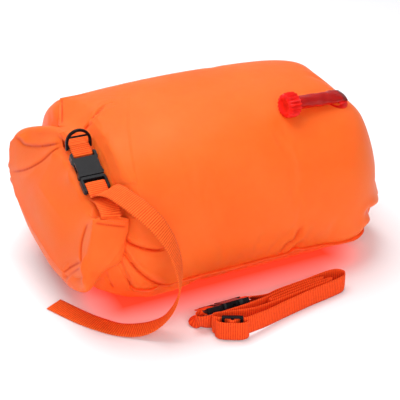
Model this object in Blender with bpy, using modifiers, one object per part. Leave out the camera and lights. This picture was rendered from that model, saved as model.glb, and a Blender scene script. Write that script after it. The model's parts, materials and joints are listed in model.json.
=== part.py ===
"""An inflatable swim buoy that is also a dry bag, lying on its back face, with its folded waist belt beside it.

+X runs from the rolled mouth to the base, the belt lies towards -Y, and +Z is up. The origin is on the floor, in
the flat patch that the bag rests on. All lengths are in metres.
"""

import math

import bmesh
import bpy
from mathutils import Matrix, Vector

# The inflated bag
body_half_width = 0.152
body_height = 0.222
widest_height = 0.092
flat_sag = 0.006
base_reach = 0.219
base_corner_share = 0.42
base_corner_power = 3
base_round_length = 0.100
shoulder_reach = 0.158
shoulder_round_length = 0.022
shoulder_drop_share = 0.24
crown_share = 0.06
waist_share = 0.03
base_power = 4.5
shoulder_power = 4
dome_power = 2.6
belly_power = 2.5

# Plies and welds
ply_thickness = 0.0012
wall_thickness = 0.0009
seat_gap = 0.0003
weld_height = 0.042
weld_thickness = 0.0016
weld_outer_width = 0.005
weld_inner_width = 0.002
base_weld_reach = 0.150
compartment_half_height = 0.008
wall_inset = 0.0036

# The neck behind the roll
neck_inner_reach = 0.152
neck_reach = 0.180
neck_end_share = 0.80
neck_lip = 0.016

# The rolled mouth
roll_reach = 0.240
roll_half_span = 0.125
roll_height = 0.190
roll_half_width = 0.072
roll_half_thickness = 0.014
roll_ply_thickness = 0.0015
strip_width = 0.018
strip_thickness = 0.0010

# Webbing
webbing_width = 0.025
webbing_thickness = 0.0015
webbing_slack = 0.0007

# The side release buckles
buckle_width = 0.033
buckle_thickness = 0.0095
bar_length = 0.0035
bar_thickness = 0.0026
bar_base_height = 0.00345
slot_length = 0.005
slot_width = 0.0262
socket_wall_length = 0.0015
cavity_length = 0.026
cavity_width = 0.027
socket_shell = 0.0016
window_start = 0.004
window_length = 0.013
window_margin = 0.0022
plug_base_length = 0.0048
plug_height_inset = 0.0008
prong_length = 0.0235
prong_thickness = 0.0025
prong_offset = 0.0098
prong_height = 0.0043
pad_length = 0.0085
pad_reach = 0.0132
guide_width = 0.0052
guide_length = 0.022
guide_height = 0.0034
moving_gap = 0.0004
buckle_edge = 0.0006

# The D-ring, which stands on the webbing tab
ring_wire = 0.0034
ring_inner_width = 0.0262
ring_foot_length = 0.0028
ring_straight_length = 0.0065

# Places on the bag
buckle_x = -0.177
buckle_top_y = -0.036
buckle_low_y = -0.094
buckle_clearance = 0.0001
ring_offset = 0.0115
tab_length = 0.034
tab_lift = 0.0008
hem_overlap = 0.007
strap_lead = 0.007

# The oral inflation valve
valve_setback = 0.059
valve_y = -0.0715
cap_y = -0.0840
flange_radius = 0.0160
flange_thickness = 0.0012
valve_tube_length = 0.072
valve_tube_radius = 0.0105
valve_flat_share = 0.72
valve_fold_share = 0.30
valve_fold_wide_share = 1.15
valve_fold_lift = 0.0034
valve_wall = 0.0014
cap_length = 0.020
cap_radius = 0.0150
cap_ribs = 18
cap_rib_depth = 0.0012
cap_bore_depth = 0.013
stem_radius = 0.0045
stem_length = 0.030
bore_radius = 0.0065

# The belt
belt_x = 0.020
belt_y = -0.200
belt_span = 0.100
belt_spread = 0.020
belt_height = 0.0004
belt_buckle_x = -0.020
belt_buckle_y = -0.176
belt_buckle_z = 0.0137
belt_buckle_tilt = 32.0
belt_loop_length = 0.014
belt_tail_length = 0.012
slider_x = -0.061
slider_y = -0.2225
slider_heading = 153.4
slider_length = 0.026
slider_width = 0.032
slider_thickness = 0.0032
slider_bar = 0.0036

# The strap's free end
strap_span = 0.100

# Places along the roll, from its gathered end over the far corner and the broad front to the near flap: shares of
# the roll's reach, half span and height, the directions across it, shares of its half width and half thickness,
# and the bulge as a share of the half thickness
roll_station_shares = (
    ((-0.712, 0.05, 1.062), (0.9, 0.0, -0.35), 0.17, 0.62, 0.0),
    ((-0.758, 0.34, 0.995), (0.8, -0.2, -0.30), 0.19, 0.70, 0.0),
    ((-0.806, 0.63, 0.880), (0.6, -0.5, -0.35), 0.26, 0.80, 0.0),
    ((-0.842, 0.79, 0.755), (0.45, -0.85, -0.10), 0.36, 0.90, 0.1),
    ((-0.862, 0.76, 0.630), (0.36, -0.75, 0.50), 0.54, 0.90, 0.3),
    ((-0.870, 0.58, 0.552), (0.24, -0.28, 0.92), 0.68, 0.90, 0.5),
    ((-0.872, 0.26, 0.520), (0.18, 0.0, 0.98), 0.82, 0.90, 0.7),
    ((-0.870, -0.10, 0.505), (0.18, 0.0, 0.98), 0.84, 0.90, 0.8),
    ((-0.862, -0.42, 0.475), (0.20, 0.1, 0.97), 0.80, 0.90, 0.7),
    ((-0.846, -0.74, 0.440), (0.25, 0.2, 0.94), 0.66, 0.90, 0.4),
    ((-0.820, -0.98, 0.430), (0.60, 0.1, 0.75), 0.46, 0.84, 0.1),
    ((-0.792, -1.09, 0.520), (0.98, -0.1, 0.05), 0.34, 0.66, 0.0),
    ((-0.764, -1.11, 0.660), (1.0, 0.0, -0.05), 0.32, 0.46, 0.0),
    ((-0.742, -1.08, 0.785), (1.0, 0.0, -0.05), 0.30, 0.22, 0.0),
)

# Places along the strap's free end, and the direction across it, as shares of its span
strap_station_shares = (
    ((-1.684, -1.174, 1.760), (0.85, 0.45, 0.25)),
    ((-1.595, -1.414, 1.750), (0.75, 0.60, 0.30)),
    ((-1.485, -1.647, 1.680), (0.65, 0.65, 0.40)),
    ((-1.364, -1.807, 1.540), (0.60, 0.65, 0.45)),
    ((-1.259, -1.892, 1.335), (0.60, 0.70, 0.40)),
    ((-1.186, -1.922, 1.100), (0.60, 0.75, 0.25)),
    ((-1.161, -1.946, 0.885), (0.55, 0.80, 0.15)),
    ((-1.165, -1.936, 0.650), (0.50, 0.85, 0.00)),
    ((-1.227, -1.911, 0.440), (0.45, 0.85, -0.10)),
    ((-1.330, -1.850, 0.250), (0.50, 0.85, -0.10)),
    ((-1.450, -1.770, 0.130), (0.55, 0.80, 0.05)),
    ((-1.600, -1.660, 0.050), (0.60, 0.75, 0.10)),
    ((-1.790, -1.510, 0.016), (0.66, 0.75, 0.00)),
    ((-1.970, -1.300, 0.013), (0.75, 0.66, 0.00)),
    ((-2.130, -1.060, 0.013), (0.84, 0.54, 0.00)),
    ((-2.340, -0.660, 0.013), (0.88, 0.47, 0.00)),
)

# Places along the belt's folds seen from above, as shares of its span and spread, with the lean of the webbing
belt_front_shares = (
    (-0.160, 0.92, 0.6),
    (0.020, 0.84, 0.2),
    (0.400, 0.92, 0.0),
    (0.750, 1.15, 0.0),
    (0.900, 1.08, 0.0),
    (0.965, 0.68, 0.0),
    (0.900, 0.26, 0.0),
    (0.720, 0.04, 0.0),
    (0.400, -0.22, 0.0),
    (0.000, -0.62, 0.0),
    (-0.300, -1.02, 0.0),
    (-0.480, -1.24, 0.0),
)
belt_return_shares = (
    (-0.985, -0.46, 0.0),
    (-0.960, -0.20, 0.0),
    (-0.880, -0.14, 0.0),
    (-0.660, -0.32, 0.0),
    (-0.400, -0.44, 0.0),
    (0.000, -0.20, 0.0),
    (0.400, 0.08, 0.0),
    (0.680, 0.24, 0.0),
    (0.745, 0.33, 0.0),
    (0.680, 0.42, 0.0),
    (0.400, 0.30, 0.0),
    (0.060, 0.06, 0.0),
    (-0.140, -0.08, 0.0),
    (-0.190, 0.01, 0.0),
    (-0.140, 0.11, 0.0),
    (0.060, 0.30, 0.0),
    (0.400, 0.51, 0.0),
    (0.600, 0.60, 0.0),
    (0.655, 0.67, 0.0),
    (0.600, 0.74, 0.0),
    (0.400, 0.72, 0.0),
    (0.060, 0.55, 0.0),
    (-0.200, 0.30, 0.0),
    (-0.450, 0.12, 0.1),
    (-0.780, 0.15, 0.3),
    (-1.020, 0.38, 0.6),
    (-1.110, 0.78, 1.0),
)

# How far the belt has climbed towards the slider at its last and first places beside it
belt_climb_shares = (0.3, 0.75)
belt_descent_shares = (0.95, 0.8, 0.6, 0.25)

# The belt's weave from the slider's middle outward: shares of its reach along it and of a ply's step across it
slider_weave_shares = ((0.16, 1.05), (0.5, 0.0), (0.82, -1.05), (1.1, -1.0), (1.45, -0.8))


def make_collection(name):
    collection = bpy.data.collections.new(name)
    bpy.context.scene.collection.children.link(collection)
    return collection


def make_material(name, colour, roughness, transmission=0.0):
    material = bpy.data.materials.new(name)
    material.use_nodes = True
    shader = material.node_tree.nodes["Principled BSDF"]
    shader.inputs["Base Color"].default_value = (*colour, 1.0)
    shader.inputs["Roughness"].default_value = roughness
    shader.inputs["Metallic"].default_value = 0.0
    shader.inputs["Transmission Weight"].default_value = transmission
    return material


def add_object(name, mesh, material, collection, parent=None):
    obj = bpy.data.objects.new(name, mesh)
    mesh.materials.clear()
    mesh.materials.append(material)
    collection.objects.link(obj)
    if parent is not None:
        obj.parent = parent
    return obj


def smooth(obj, degrees=40.0):
    obj.data.shade_smooth()
    obj.data.set_sharp_from_angle(angle=math.radians(degrees))


def loft(name, rows, material, collection, parent=None, ring=False, caps=False, flip=False):
    """A surface through rows of points. A ring joins each row's ends, and caps close the first and last row."""
    work = bmesh.new()
    grid = [[work.verts.new(point) for point in row] for row in rows]
    count = len(rows[0])
    steps = count if ring else count - 1
    for first, second in zip(grid, grid[1:]):
        for i in range(steps):
            j = (i + 1) % count
            work.faces.new((first[i], first[j], second[j], second[i]))
    if caps:
        for row in (grid[0], grid[-1]):
            centre = work.verts.new(sum((vertex.co for vertex in row), Vector()) / count)
            for i in range(count):
                work.faces.new((row[i], row[(i + 1) % count], centre))
    bmesh.ops.remove_doubles(work, verts=work.verts, dist=seat_gap / 10)
    if caps:
        bmesh.ops.recalc_face_normals(work, faces=work.faces)
    if flip:
        bmesh.ops.reverse_faces(work, faces=work.faces)
    mesh = bpy.data.meshes.new(name)
    work.to_mesh(mesh)
    work.free()
    obj = add_object(name, mesh, material, collection, parent)
    smooth(obj)
    return obj


def thicken(obj, thickness, offset=-1.0):
    solidify = obj.modifiers.new("Ply", "SOLIDIFY")
    solidify.thickness = thickness
    solidify.offset = offset
    solidify.use_even_offset = False


def round_edges(obj, width):
    bevel = obj.modifiers.new("Edges", "BEVEL")
    bevel.width = width
    bevel.segments = 1
    bevel.limit_method = "ANGLE"
    bevel.angle_limit = math.radians(50.0)


def cut(obj, cutter, operation="DIFFERENCE"):
    boolean = obj.modifiers.new(cutter.name, "BOOLEAN")
    boolean.operation = operation
    boolean.object = cutter
    boolean.solver = "EXACT"


def hide_cutter(obj):
    obj.hide_render = True
    obj.display_type = "WIRE"
    return obj


def block(name, low, high, material, collection, parent=None):
    """A box between two corners, in its parent's axes."""
    work = bmesh.new()
    bmesh.ops.create_cube(work, size=1.0)
    size = Vector(high) - Vector(low)
    centre = (Vector(high) + Vector(low)) / 2
    for vertex in work.verts:
        vertex.co = Vector(a * b for a, b in zip(vertex.co, size)) + centre
    mesh = bpy.data.meshes.new(name)
    work.to_mesh(mesh)
    work.free()
    return add_object(name, mesh, material, collection, parent)


def cylinder(name, radius, height, centre, material, collection, parent=None, sides=32, turn=None):
    work = bmesh.new()
    bmesh.ops.create_cone(
        work, cap_ends=True, segments=sides, radius1=radius, radius2=radius, depth=height
    )
    if turn is not None:
        bmesh.ops.rotate(work, verts=work.verts, cent=(0, 0, 0), matrix=turn)
    bmesh.ops.translate(work, verts=work.verts, vec=centre)
    mesh = bpy.data.meshes.new(name)
    work.to_mesh(mesh)
    work.free()
    obj = add_object(name, mesh, material, collection, parent)
    smooth(obj)
    return obj


def plate(name, loops, thickness, material, collection, parent=None, turn=None):
    """A flat outline with holes, centred on its own plane, made a mesh so that it can be cut."""
    curve = bpy.data.curves.new(name, "CURVE")
    curve.dimensions = "2D"
    curve.fill_mode = "BOTH"
    curve.extrude = thickness / 2
    for loop in loops:
        spline = curve.splines.new("POLY")
        spline.points.add(len(loop) - 1)
        for point, place in zip(spline.points, loop):
            point.co = (*place, 0.0, 1.0)
        spline.use_cyclic_u = True
    outline = bpy.data.objects.new(name + "_outline", curve)
    collection.objects.link(outline)
    bpy.context.view_layer.update()
    mesh = bpy.data.meshes.new_from_object(outline.evaluated_get(bpy.context.evaluated_depsgraph_get()))
    bpy.data.objects.remove(outline)
    work = bmesh.new()
    work.from_mesh(mesh)
    bmesh.ops.remove_doubles(work, verts=work.verts, dist=seat_gap / 10)
    bmesh.ops.recalc_face_normals(work, faces=work.faces)
    if turn is not None:
        bmesh.ops.transform(work, verts=work.verts, matrix=turn)
    work.to_mesh(mesh)
    work.free()
    mesh.name = name
    return add_object(name, mesh, material, collection, parent)


def arc(centre, radius, start, end, steps):
    """Points of an arc in a plane, from one angle in degrees to another."""
    return [
        (
            centre[0] + radius * math.cos(math.radians(start + (end - start) * i / steps)),
            centre[1] + radius * math.sin(math.radians(start + (end - start) * i / steps)),
        )
        for i in range(steps + 1)
    ]


def spline_through(points, steps):
    """A smooth line through the points, with steps places from each to the next."""
    places = [Vector(point) for point in points]
    found = []
    for i in range(len(places) - 1):
        before = places[max(i - 1, 0)]
        start, end = places[i], places[i + 1]
        after = places[min(i + 2, len(places) - 1)]
        for k in range(steps):
            t = k / steps
            found.append(
                0.5
                * (
                    2 * start
                    + (end - before) * t
                    + (2 * before - 5 * start + 4 * end - after) * t**2
                    + (3 * start - before - 3 * end + after) * t**3
                )
            )
    found.append(places[-1])
    return found


def frame_at(location, along, outward):
    """The matrix of a frame whose X runs along and whose Z points outward."""
    x = along.normalized()
    y = outward.cross(x).normalized()
    z = x.cross(y)
    matrix = Matrix((x, y, z)).transposed().to_4x4()
    matrix.translation = location
    return matrix


def frame_empty(name, matrix, collection, parent=None):
    empty = bpy.data.objects.new(name, None)
    collection.objects.link(empty)
    empty.empty_display_size = webbing_width
    empty.parent = parent
    empty.matrix_local = matrix
    return empty


def power(value, exponent):
    return math.copysign(abs(value) ** exponent, value)


# The bag's surface

def end_scale(x):
    """How much of its full section the bag keeps at x, where its base and its shoulder round over."""
    base_start = base_reach - base_round_length
    shoulder_start = shoulder_round_length - shoulder_reach
    if x > base_start:
        share = min((x - base_start) / base_round_length, 1.0)
        return max(1.0 - share**base_power, 0.0) ** (1 / base_power)
    if x < shoulder_start:
        share = min((shoulder_start - x) / shoulder_round_length, 1.0)
        return 1.0 - shoulder_drop_share * share**shoulder_power
    return 1.0


def dome_size(x):
    """The full half width and height above the widest line at x."""
    share = x / base_reach
    return (
        body_half_width * (1 - waist_share * share**2),
        body_height * (1 - crown_share * share**2) - widest_height,
    )


def base_share(x):
    """How far x lies into the base's rounding, from 0 to 1."""
    return min(max((x - base_reach + base_round_length) / base_round_length, 0.0), 1.0)


def side_scale(x):
    """The share of its full width that the bag keeps at x. The base ends in a straight weld."""
    return 1 - base_corner_share * base_share(x) ** base_corner_power if x > 0 else end_scale(x)


def middle_height(x):
    """The height of the widest line at x. Towards the base it comes down to the weld."""
    return weld_height + (widest_height - weld_height) * (end_scale(x) if x > 0 else 1.0)


def section(x, angle, wide, high, middle):
    """A point of a section, with the angle in radians measured from the near side over the top."""
    half_width, height = dome_size(x)
    if math.sin(angle) >= 0:
        y = -half_width * power(math.cos(angle), 2 / dome_power)
        z = height * power(math.sin(angle), 2 / dome_power)
    else:
        y = -half_width * power(math.cos(angle), 2 / belly_power)
        z = (widest_height + flat_sag) * power(math.sin(angle), 2 / belly_power)
    return Vector((x, wide * y, max(middle + high * z, 0.0)))


def skin_point(x, angle):
    return section(x, angle, side_scale(x), end_scale(x), middle_height(x))


def weld_angle(offset):
    """The angle below the widest line at which the skin meets the weld's height plus an offset."""
    share = (widest_height - weld_height - offset) / (widest_height + flat_sag)
    return math.asin(share ** (belly_power / 2))


def weld_point(x):
    """The far end of the weld line at x."""
    point = skin_point(x, math.pi + weld_angle(0.0))
    point.z = middle_height(x) - end_scale(x) * (widest_height - weld_height)
    return point


def neck_scale(x):
    """The neck's share of the bag's section: it seats inside the shoulder and draws in towards the roll."""
    seated = 1 - shoulder_drop_share - 3 * seat_gap / (widest_height + flat_sag)
    share = max((-x - neck_inner_reach) / (neck_reach - neck_inner_reach), 0.0)
    return seated * (1 - (1 - neck_end_share) * share**2)


def on_neck(x, y):
    """The highest point of the neck at a place seen from above."""
    half_width, height = dome_size(x)
    scale = neck_scale(max(x, -neck_reach))
    share = min(abs(y) / (scale * half_width), 1.0)
    return Vector((x, y, widest_height + scale * height * (1 - share**dome_power) ** (1 / dome_power)))


def on_dome(x, y):
    half_width, height = dome_size(x)
    share = min(abs(y) / (side_scale(x) * half_width), 1.0)
    rise = end_scale(x) * height * (1 - share**dome_power) ** (1 / dome_power)
    return Vector((x, y, middle_height(x) + rise))


def length_places():
    """Stations along the bag, close together where it rounds over."""
    shoulder = [shoulder_round_length * share - shoulder_reach for share in (0.0, 0.12, 0.3, 0.6, 1.0)]
    base_start = base_reach - base_round_length
    middle = [
        shoulder[-1] + (base_start - shoulder[-1]) * share for share in (0.17, 0.34, 0.5, 0.67, 0.84, 1.0)
    ]
    shares = (0.25, 0.45, 0.6, 0.72, 0.82, 0.9, 0.955, 0.985, 0.997, 1.0)
    return shoulder + middle + [base_start + base_round_length * share for share in shares]


def skin_rows(start, end, steps, lift):
    """Rows of the skin between two angles. Lift keeps the row's ends clear of the weld."""
    rows = []
    for x in length_places():
        row = []
        for i in range(steps + 1):
            point = skin_point(x, start + (end - start) * i / steps)
            if i in (0, steps):
                point.z = weld_point(x).z + lift
            row.append(point)
        if end_scale(x) == 0.0:
            row = [row[0].lerp(row[-1], i / steps) for i in range(steps + 1)]
        rows.append(row)
    return rows


def make_skins(fabric, parts, cutters, valve_frame):
    clear = weld_thickness / 2 + seat_gap
    front_angle = weld_angle(clear)
    rows = skin_rows(-front_angle, math.pi + front_angle, 26, clear)
    front = loft("front_outer_panel", rows, fabric, parts, flip=True)
    thicken(front, ply_thickness)
    bore = cylinder(
        "valve_hole_cutter", bore_radius, flange_radius, (0, 0, 0), fabric, cutters, parent=valve_frame, sides=16
    )
    cut(front, hide_cutter(bore))
    clear += ply_thickness / 2
    back_angle = weld_angle(-clear)
    rows = skin_rows(math.pi + back_angle, 2 * math.pi - back_angle, 16, -clear)
    back = loft("back_outer_panel", rows, fabric, parts, flip=True)
    thicken(back, ply_thickness)


def weld_line():
    """The weld from the near shoulder round the base to the far shoulder: places, outward and lengthwise."""
    places = sorted(length_places() + [base_weld_reach])
    line = []
    for x in places:
        point = weld_point(x)
        line.append(Vector((x, -point.y, point.z)))
    line += [Vector((point.x, -point.y, point.z)) for point in reversed(line)]
    stations = []
    for i, point in enumerate(line):
        along = line[min(i + 1, len(line) - 1)] - line[max(i - 1, 0)]
        stations.append((point, Vector((along.y, -along.x, 0.0)).normalized(), along.normalized()))
    return places, stations


def make_chamber_walls(fabric, parts):
    """The two walls between the air chambers, with the dry compartment between them."""
    places, stations = weld_line()
    rims = [point - outward * wall_inset for point, outward, along in stations[len(places):]]
    start = weld_point(ply_thickness - neck_inner_reach)
    rims = [rim for rim in rims if rim.x > start.x + wall_inset]
    rims.append(Vector((start.x, start.y - wall_inset * 2.5, start.z)))
    for name, side in (("front_chamber_wall", 1), ("back_chamber_wall", -1)):
        rows = []
        for rim in rims:
            swell = min((rims[0].x - rim.x) / base_round_length, 1.0) * compartment_half_height
            row = []
            for i in range(13):
                share = math.sin(math.pi * (i / 12 - 0.5))
                lift = wall_thickness / 2 + seat_gap * 2 + swell * (1 - share**4)
                row.append(Vector((rim.x, share * rim.y, rim.z + side * lift)))
            rows.append(row)
        thicken(loft(name, rows, fabric, parts, flip=side < 0), wall_thickness, offset=0.0)


def make_welds(fabric, parts):
    """The flat welded rim, in one length for each side and one round the base."""
    places, stations = weld_line()
    turn, last = places.index(base_weld_reach), len(stations) - 1
    spans = (
        ("near_side_weld", 0, turn, 0.0, -seat_gap),
        ("base_weld", turn, last - turn, seat_gap, -seat_gap),
        ("far_side_weld", last - turn, last, seat_gap, 0.0),
    )
    for name, first, final, start_shift, end_shift in spans:
        rows = []
        for i in range(first, final + 1):
            point, outward, along = stations[i]
            shift = start_shift if i == first else end_shift if i == final else 0.0
            point = point + along * shift
            rise = Vector((0.0, 0.0, weld_thickness / 2))
            inner, outer = point - outward * weld_inner_width, point + outward * weld_outer_width
            rows.append([inner - rise, outer - rise, outer + rise, inner + rise])
        loft(name, rows, fabric, parts, ring=True, caps=True)


def make_neck(fabric, parts):
    """The sleeve that joins the dry compartment to the roll, with a lip that hangs over the roll's upper edge."""
    rows = []
    for share in (0.0, 0.25, 0.5, 0.75, 1.0):
        x = -neck_inner_reach - (neck_reach - neck_inner_reach) * share
        row = []
        for i in range(28):
            angle = math.tau * i / 28
            point = section(x, angle, neck_scale(x), neck_scale(x), widest_height)
            point.x -= neck_lip * share**2 * max(math.sin(angle), 0.0) ** 4
            row.append(point)
        rows.append(row)
    thicken(loft("neck", rows, fabric, parts, ring=True), ply_thickness)


# The rolled mouth

def roll_stations(steps):
    """Centre, direction across, half width, half thickness and bulge all along the roll."""
    centres, across, sizes = [], [], []
    for place, direction, width_share, thickness_share, bulge_share in roll_station_shares:
        centres.append((place[0] * roll_reach, place[1] * roll_half_span, place[2] * roll_height))
        across.append(Vector(direction).normalized())
        sizes.append(
            (width_share * roll_half_width, thickness_share * roll_half_thickness, bulge_share * roll_half_thickness)
        )
    centres, across, sizes = (spline_through(route, steps) for route in (centres, across, sizes))
    stations = []
    for i, (centre, direction, size) in enumerate(zip(centres, across, sizes)):
        along = (centres[min(i + 1, len(centres) - 1)] - centres[max(i - 1, 0)]).normalized()
        wide = (direction - along * direction.dot(along)).normalized()
        stations.append((centre, wide, along.cross(wide), along, size))
    return stations


def make_roll(fabric, stiffener, parts):
    stations = roll_stations(3)
    rows = []
    for centre, wide, thin, along, (half_width, half_thickness, bulge) in stations:
        row = []
        for i in range(20):
            angle = math.tau * i / 20
            across = power(math.cos(angle), 0.8)
            row.append(
                centre
                + wide * half_width * across
                + thin * (half_thickness * power(math.sin(angle), 0.9) + bulge * (1 - across**2))
            )
        rows.append(row)
    thicken(loft("rolled_mouth", rows, fabric, parts, ring=True, flip=True), roll_ply_thickness)
    for name, side in (("mouth_strip_front", 1), ("mouth_strip_back", -1)):
        places = []
        for centre, wide, thin, along, (half_width, half_thickness, bulge) in stations[12:-12]:
            seat = half_thickness - roll_ply_thickness - strip_thickness / 2 - seat_gap
            places.append((centre + thin * (side * seat + bulge), wide))
        ribbon(name, places, strip_width, strip_thickness, stiffener, parts)


# Webbing

def ribbon(name, places, width, thickness, material, parts, parent=None):
    """A strap of one unbroken rectangular section along places, each with the direction across it."""
    rows = []
    for i, (centre, across) in enumerate(places):
        along = (places[min(i + 1, len(places) - 1)][0] - places[max(i - 1, 0)][0]).normalized()
        wide = (across - along * across.dot(along)).normalized()
        thin = along.cross(wide)
        rows.append(
            [
                centre + wide * (width / 2 * a) + thin * (thickness / 2 * b)
                for a, b in ((-1, -1), (1, -1), (1, 1), (-1, 1))
            ]
        )
    return loft(name, rows, material, parts, parent, ring=True, caps=True)


def smooth_places(places, steps):
    """The same route with places between, for the centres and for the directions across."""
    centres = spline_through([place[0] for place in places], steps)
    across = spline_through([place[1] for place in places], steps)
    return list(zip(centres, across))


def half_turn(frame, centre_x, centre_z, radius, start, end, across, steps=6):
    """Places round a bar, in a buckle's own frame."""
    return [
        (frame @ Vector((x, 0.0, z)), across) for x, z in arc((centre_x, centre_z), radius, start, end, steps)
    ]


def bar_centre_z():
    return bar_base_height + bar_thickness / 2


def ply_offset():
    """From a bar's middle to the middle of the webbing that passes over or under it."""
    return bar_length / 2 + webbing_slack + webbing_thickness / 2


def grip_bar_x():
    return socket_length() + moving_gap + plug_base_length + slot_length


def socket_length():
    return bar_length + slot_length + socket_wall_length + cavity_length


def plug_end_x():
    return grip_bar_x() + bar_length + slot_length + bar_length


def ladder_places(frame, across, start_gap):
    """Webbing that comes in under the plug's two bars, turns round the inner one and leaves over both."""
    under, over = bar_centre_z() - ply_offset(), bar_centre_z() + ply_offset()
    turn_x = grip_bar_x() + bar_length / 2
    end_x = plug_end_x() + start_gap
    places = [(frame @ Vector((end_x, 0.0, under)), across)]
    places.append((frame @ Vector(((end_x + turn_x) / 2, 0.0, under)), across))
    places += half_turn(frame, turn_x, bar_centre_z(), ply_offset(), 270.0, 90.0, across)
    places.append((frame @ Vector(((end_x + turn_x) / 2, 0.0, over)), across))
    places.append((frame @ Vector((end_x, 0.0, over)), across))
    return places


def make_closure_strap(webbing, parts, frame):
    """The long strap: sewn into the flap's hem, threaded round the plug's bar, its free end lying on the floor."""
    across = frame.to_3x3() @ Vector((0.0, 1.0, 0.0))
    hem, wide, thin, along, sizes = roll_stations(3)[-1]
    ladder = ladder_places(frame, across, strap_lead)
    start = [(hem - along * hem_overlap, across), (hem, across)]
    rise = hem + along * hem_overlap
    entry = ladder[0][0]
    start.append((rise, across))
    start.append(((rise + entry) / 2 + along * (webbing_width / 6), across))
    tail = []
    for place, direction in strap_station_shares:
        tail.append((Vector(place) * strap_span, Vector(direction).normalized()))
    places = smooth_places(start + ladder[:1], 3)[:-1] + ladder[:-1] + smooth_places(ladder[-1:] + tail, 3)
    ribbon("closure_strap", places, webbing_width, webbing_thickness, webbing, parts)


def slider_rise():
    """How far the webbing climbs to pass through the slider, which stands on the floor."""
    return (slider_width - slot_width) / 2 + webbing_slack


def belt_places(shares, rise_shares):
    """Places along the belt, with the shares of the slider's rise from the first place on."""
    places = []
    for i, (x_share, y_share, lean) in enumerate(shares):
        rise = slider_rise() * (rise_shares[i] if i < len(rise_shares) else 0.0)
        middle = belt_height + webbing_width / 2 + rise
        centre = Vector((belt_x + belt_span * x_share, belt_y + belt_spread * y_share, middle))
        places.append((centre, Vector((0.0, -lean, 1.0)).normalized()))
    return places


def slider_places():
    """The webbing's weave through the slider: behind the end bars and in front of the middle one."""
    heading = math.radians(slider_heading)
    along = Vector((math.cos(heading), math.sin(heading), 0.0))
    front = Vector((-math.sin(heading), math.cos(heading), 0.0))
    if front.y > 0:
        front = -front
    step = slider_thickness / 2 + webbing_slack + webbing_thickness / 2
    reach = slider_length / 2 - slider_bar / 2
    middle = Vector((slider_x, slider_y, belt_height + slider_width / 2))
    up = Vector((0.0, 0.0, 1.0))
    shares = [(-a, b) for a, b in reversed(slider_weave_shares)] + list(slider_weave_shares)
    return [(middle + along * (reach * a) + front * (step * b), up) for a, b in shares]


def make_belt(webbing, parts, frame):
    """The waist belt: looped round the socket's bar, folded in layers on its edge, then threaded round the plug's."""
    across = frame.to_3x3() @ Vector((0.0, 1.0, 0.0))
    under, over = bar_centre_z() - ply_offset(), bar_centre_z() + ply_offset()
    loop = [(frame @ Vector((-belt_loop_length, 0.0, under)), across)]
    loop += half_turn(frame, bar_length / 2, bar_centre_z(), ply_offset(), 270.0, 450.0, across)
    loop.append((frame @ Vector((-belt_loop_length / 3, 0.0, over)), across))
    ladder = ladder_places(frame, across, belt_tail_length)
    climb = (0.0,) * (len(belt_front_shares) - len(belt_climb_shares)) + belt_climb_shares
    route = loop[-1:] + belt_places(belt_front_shares, climb) + slider_places()
    route += belt_places(belt_return_shares, belt_descent_shares)
    route += ladder[:1]
    places = loop[:-1] + smooth_places(route, 3)[:-1] + ladder
    return ribbon("belt_webbing", places, webbing_width, webbing_thickness, webbing, parts)


def make_slider(plastic, parts):
    heading = math.radians(slider_heading)
    half_length, half_width, round_size = slider_length / 2, slider_width / 2, slider_bar / 2
    slots = []
    for side in (-1, 1):
        near, far = slider_bar / 2, half_length - slider_bar
        slot = rounded_box(near, -slot_width / 2, far, slot_width / 2, round_size / 2)
        slots.append([(side * x, y) for x, y in slot])
    outline = rounded_box(-half_length, -half_width, half_length, half_width, round_size)
    stand = Matrix.Rotation(math.pi / 2, 4, "X")
    slider = plate("belt_slider", [outline] + slots, slider_thickness, plastic, parts, turn=stand)
    slider.location = (slider_x, slider_y, belt_height + half_width)
    slider.rotation_euler = (0.0, 0.0, heading)
    round_edges(slider, buckle_edge)
    return slider


def rounded_box(low_x, low_y, high_x, high_y, radius, steps=3):
    outline = arc((high_x - radius, high_y - radius), radius, 0.0, 90.0, steps)
    outline += arc((low_x + radius, high_y - radius), radius, 90.0, 180.0, steps)
    outline += arc((low_x + radius, low_y + radius), radius, 180.0, 270.0, steps)
    outline += arc((high_x - radius, low_y + radius), radius, 270.0, 360.0, steps)
    return outline


# Buckles

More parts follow.
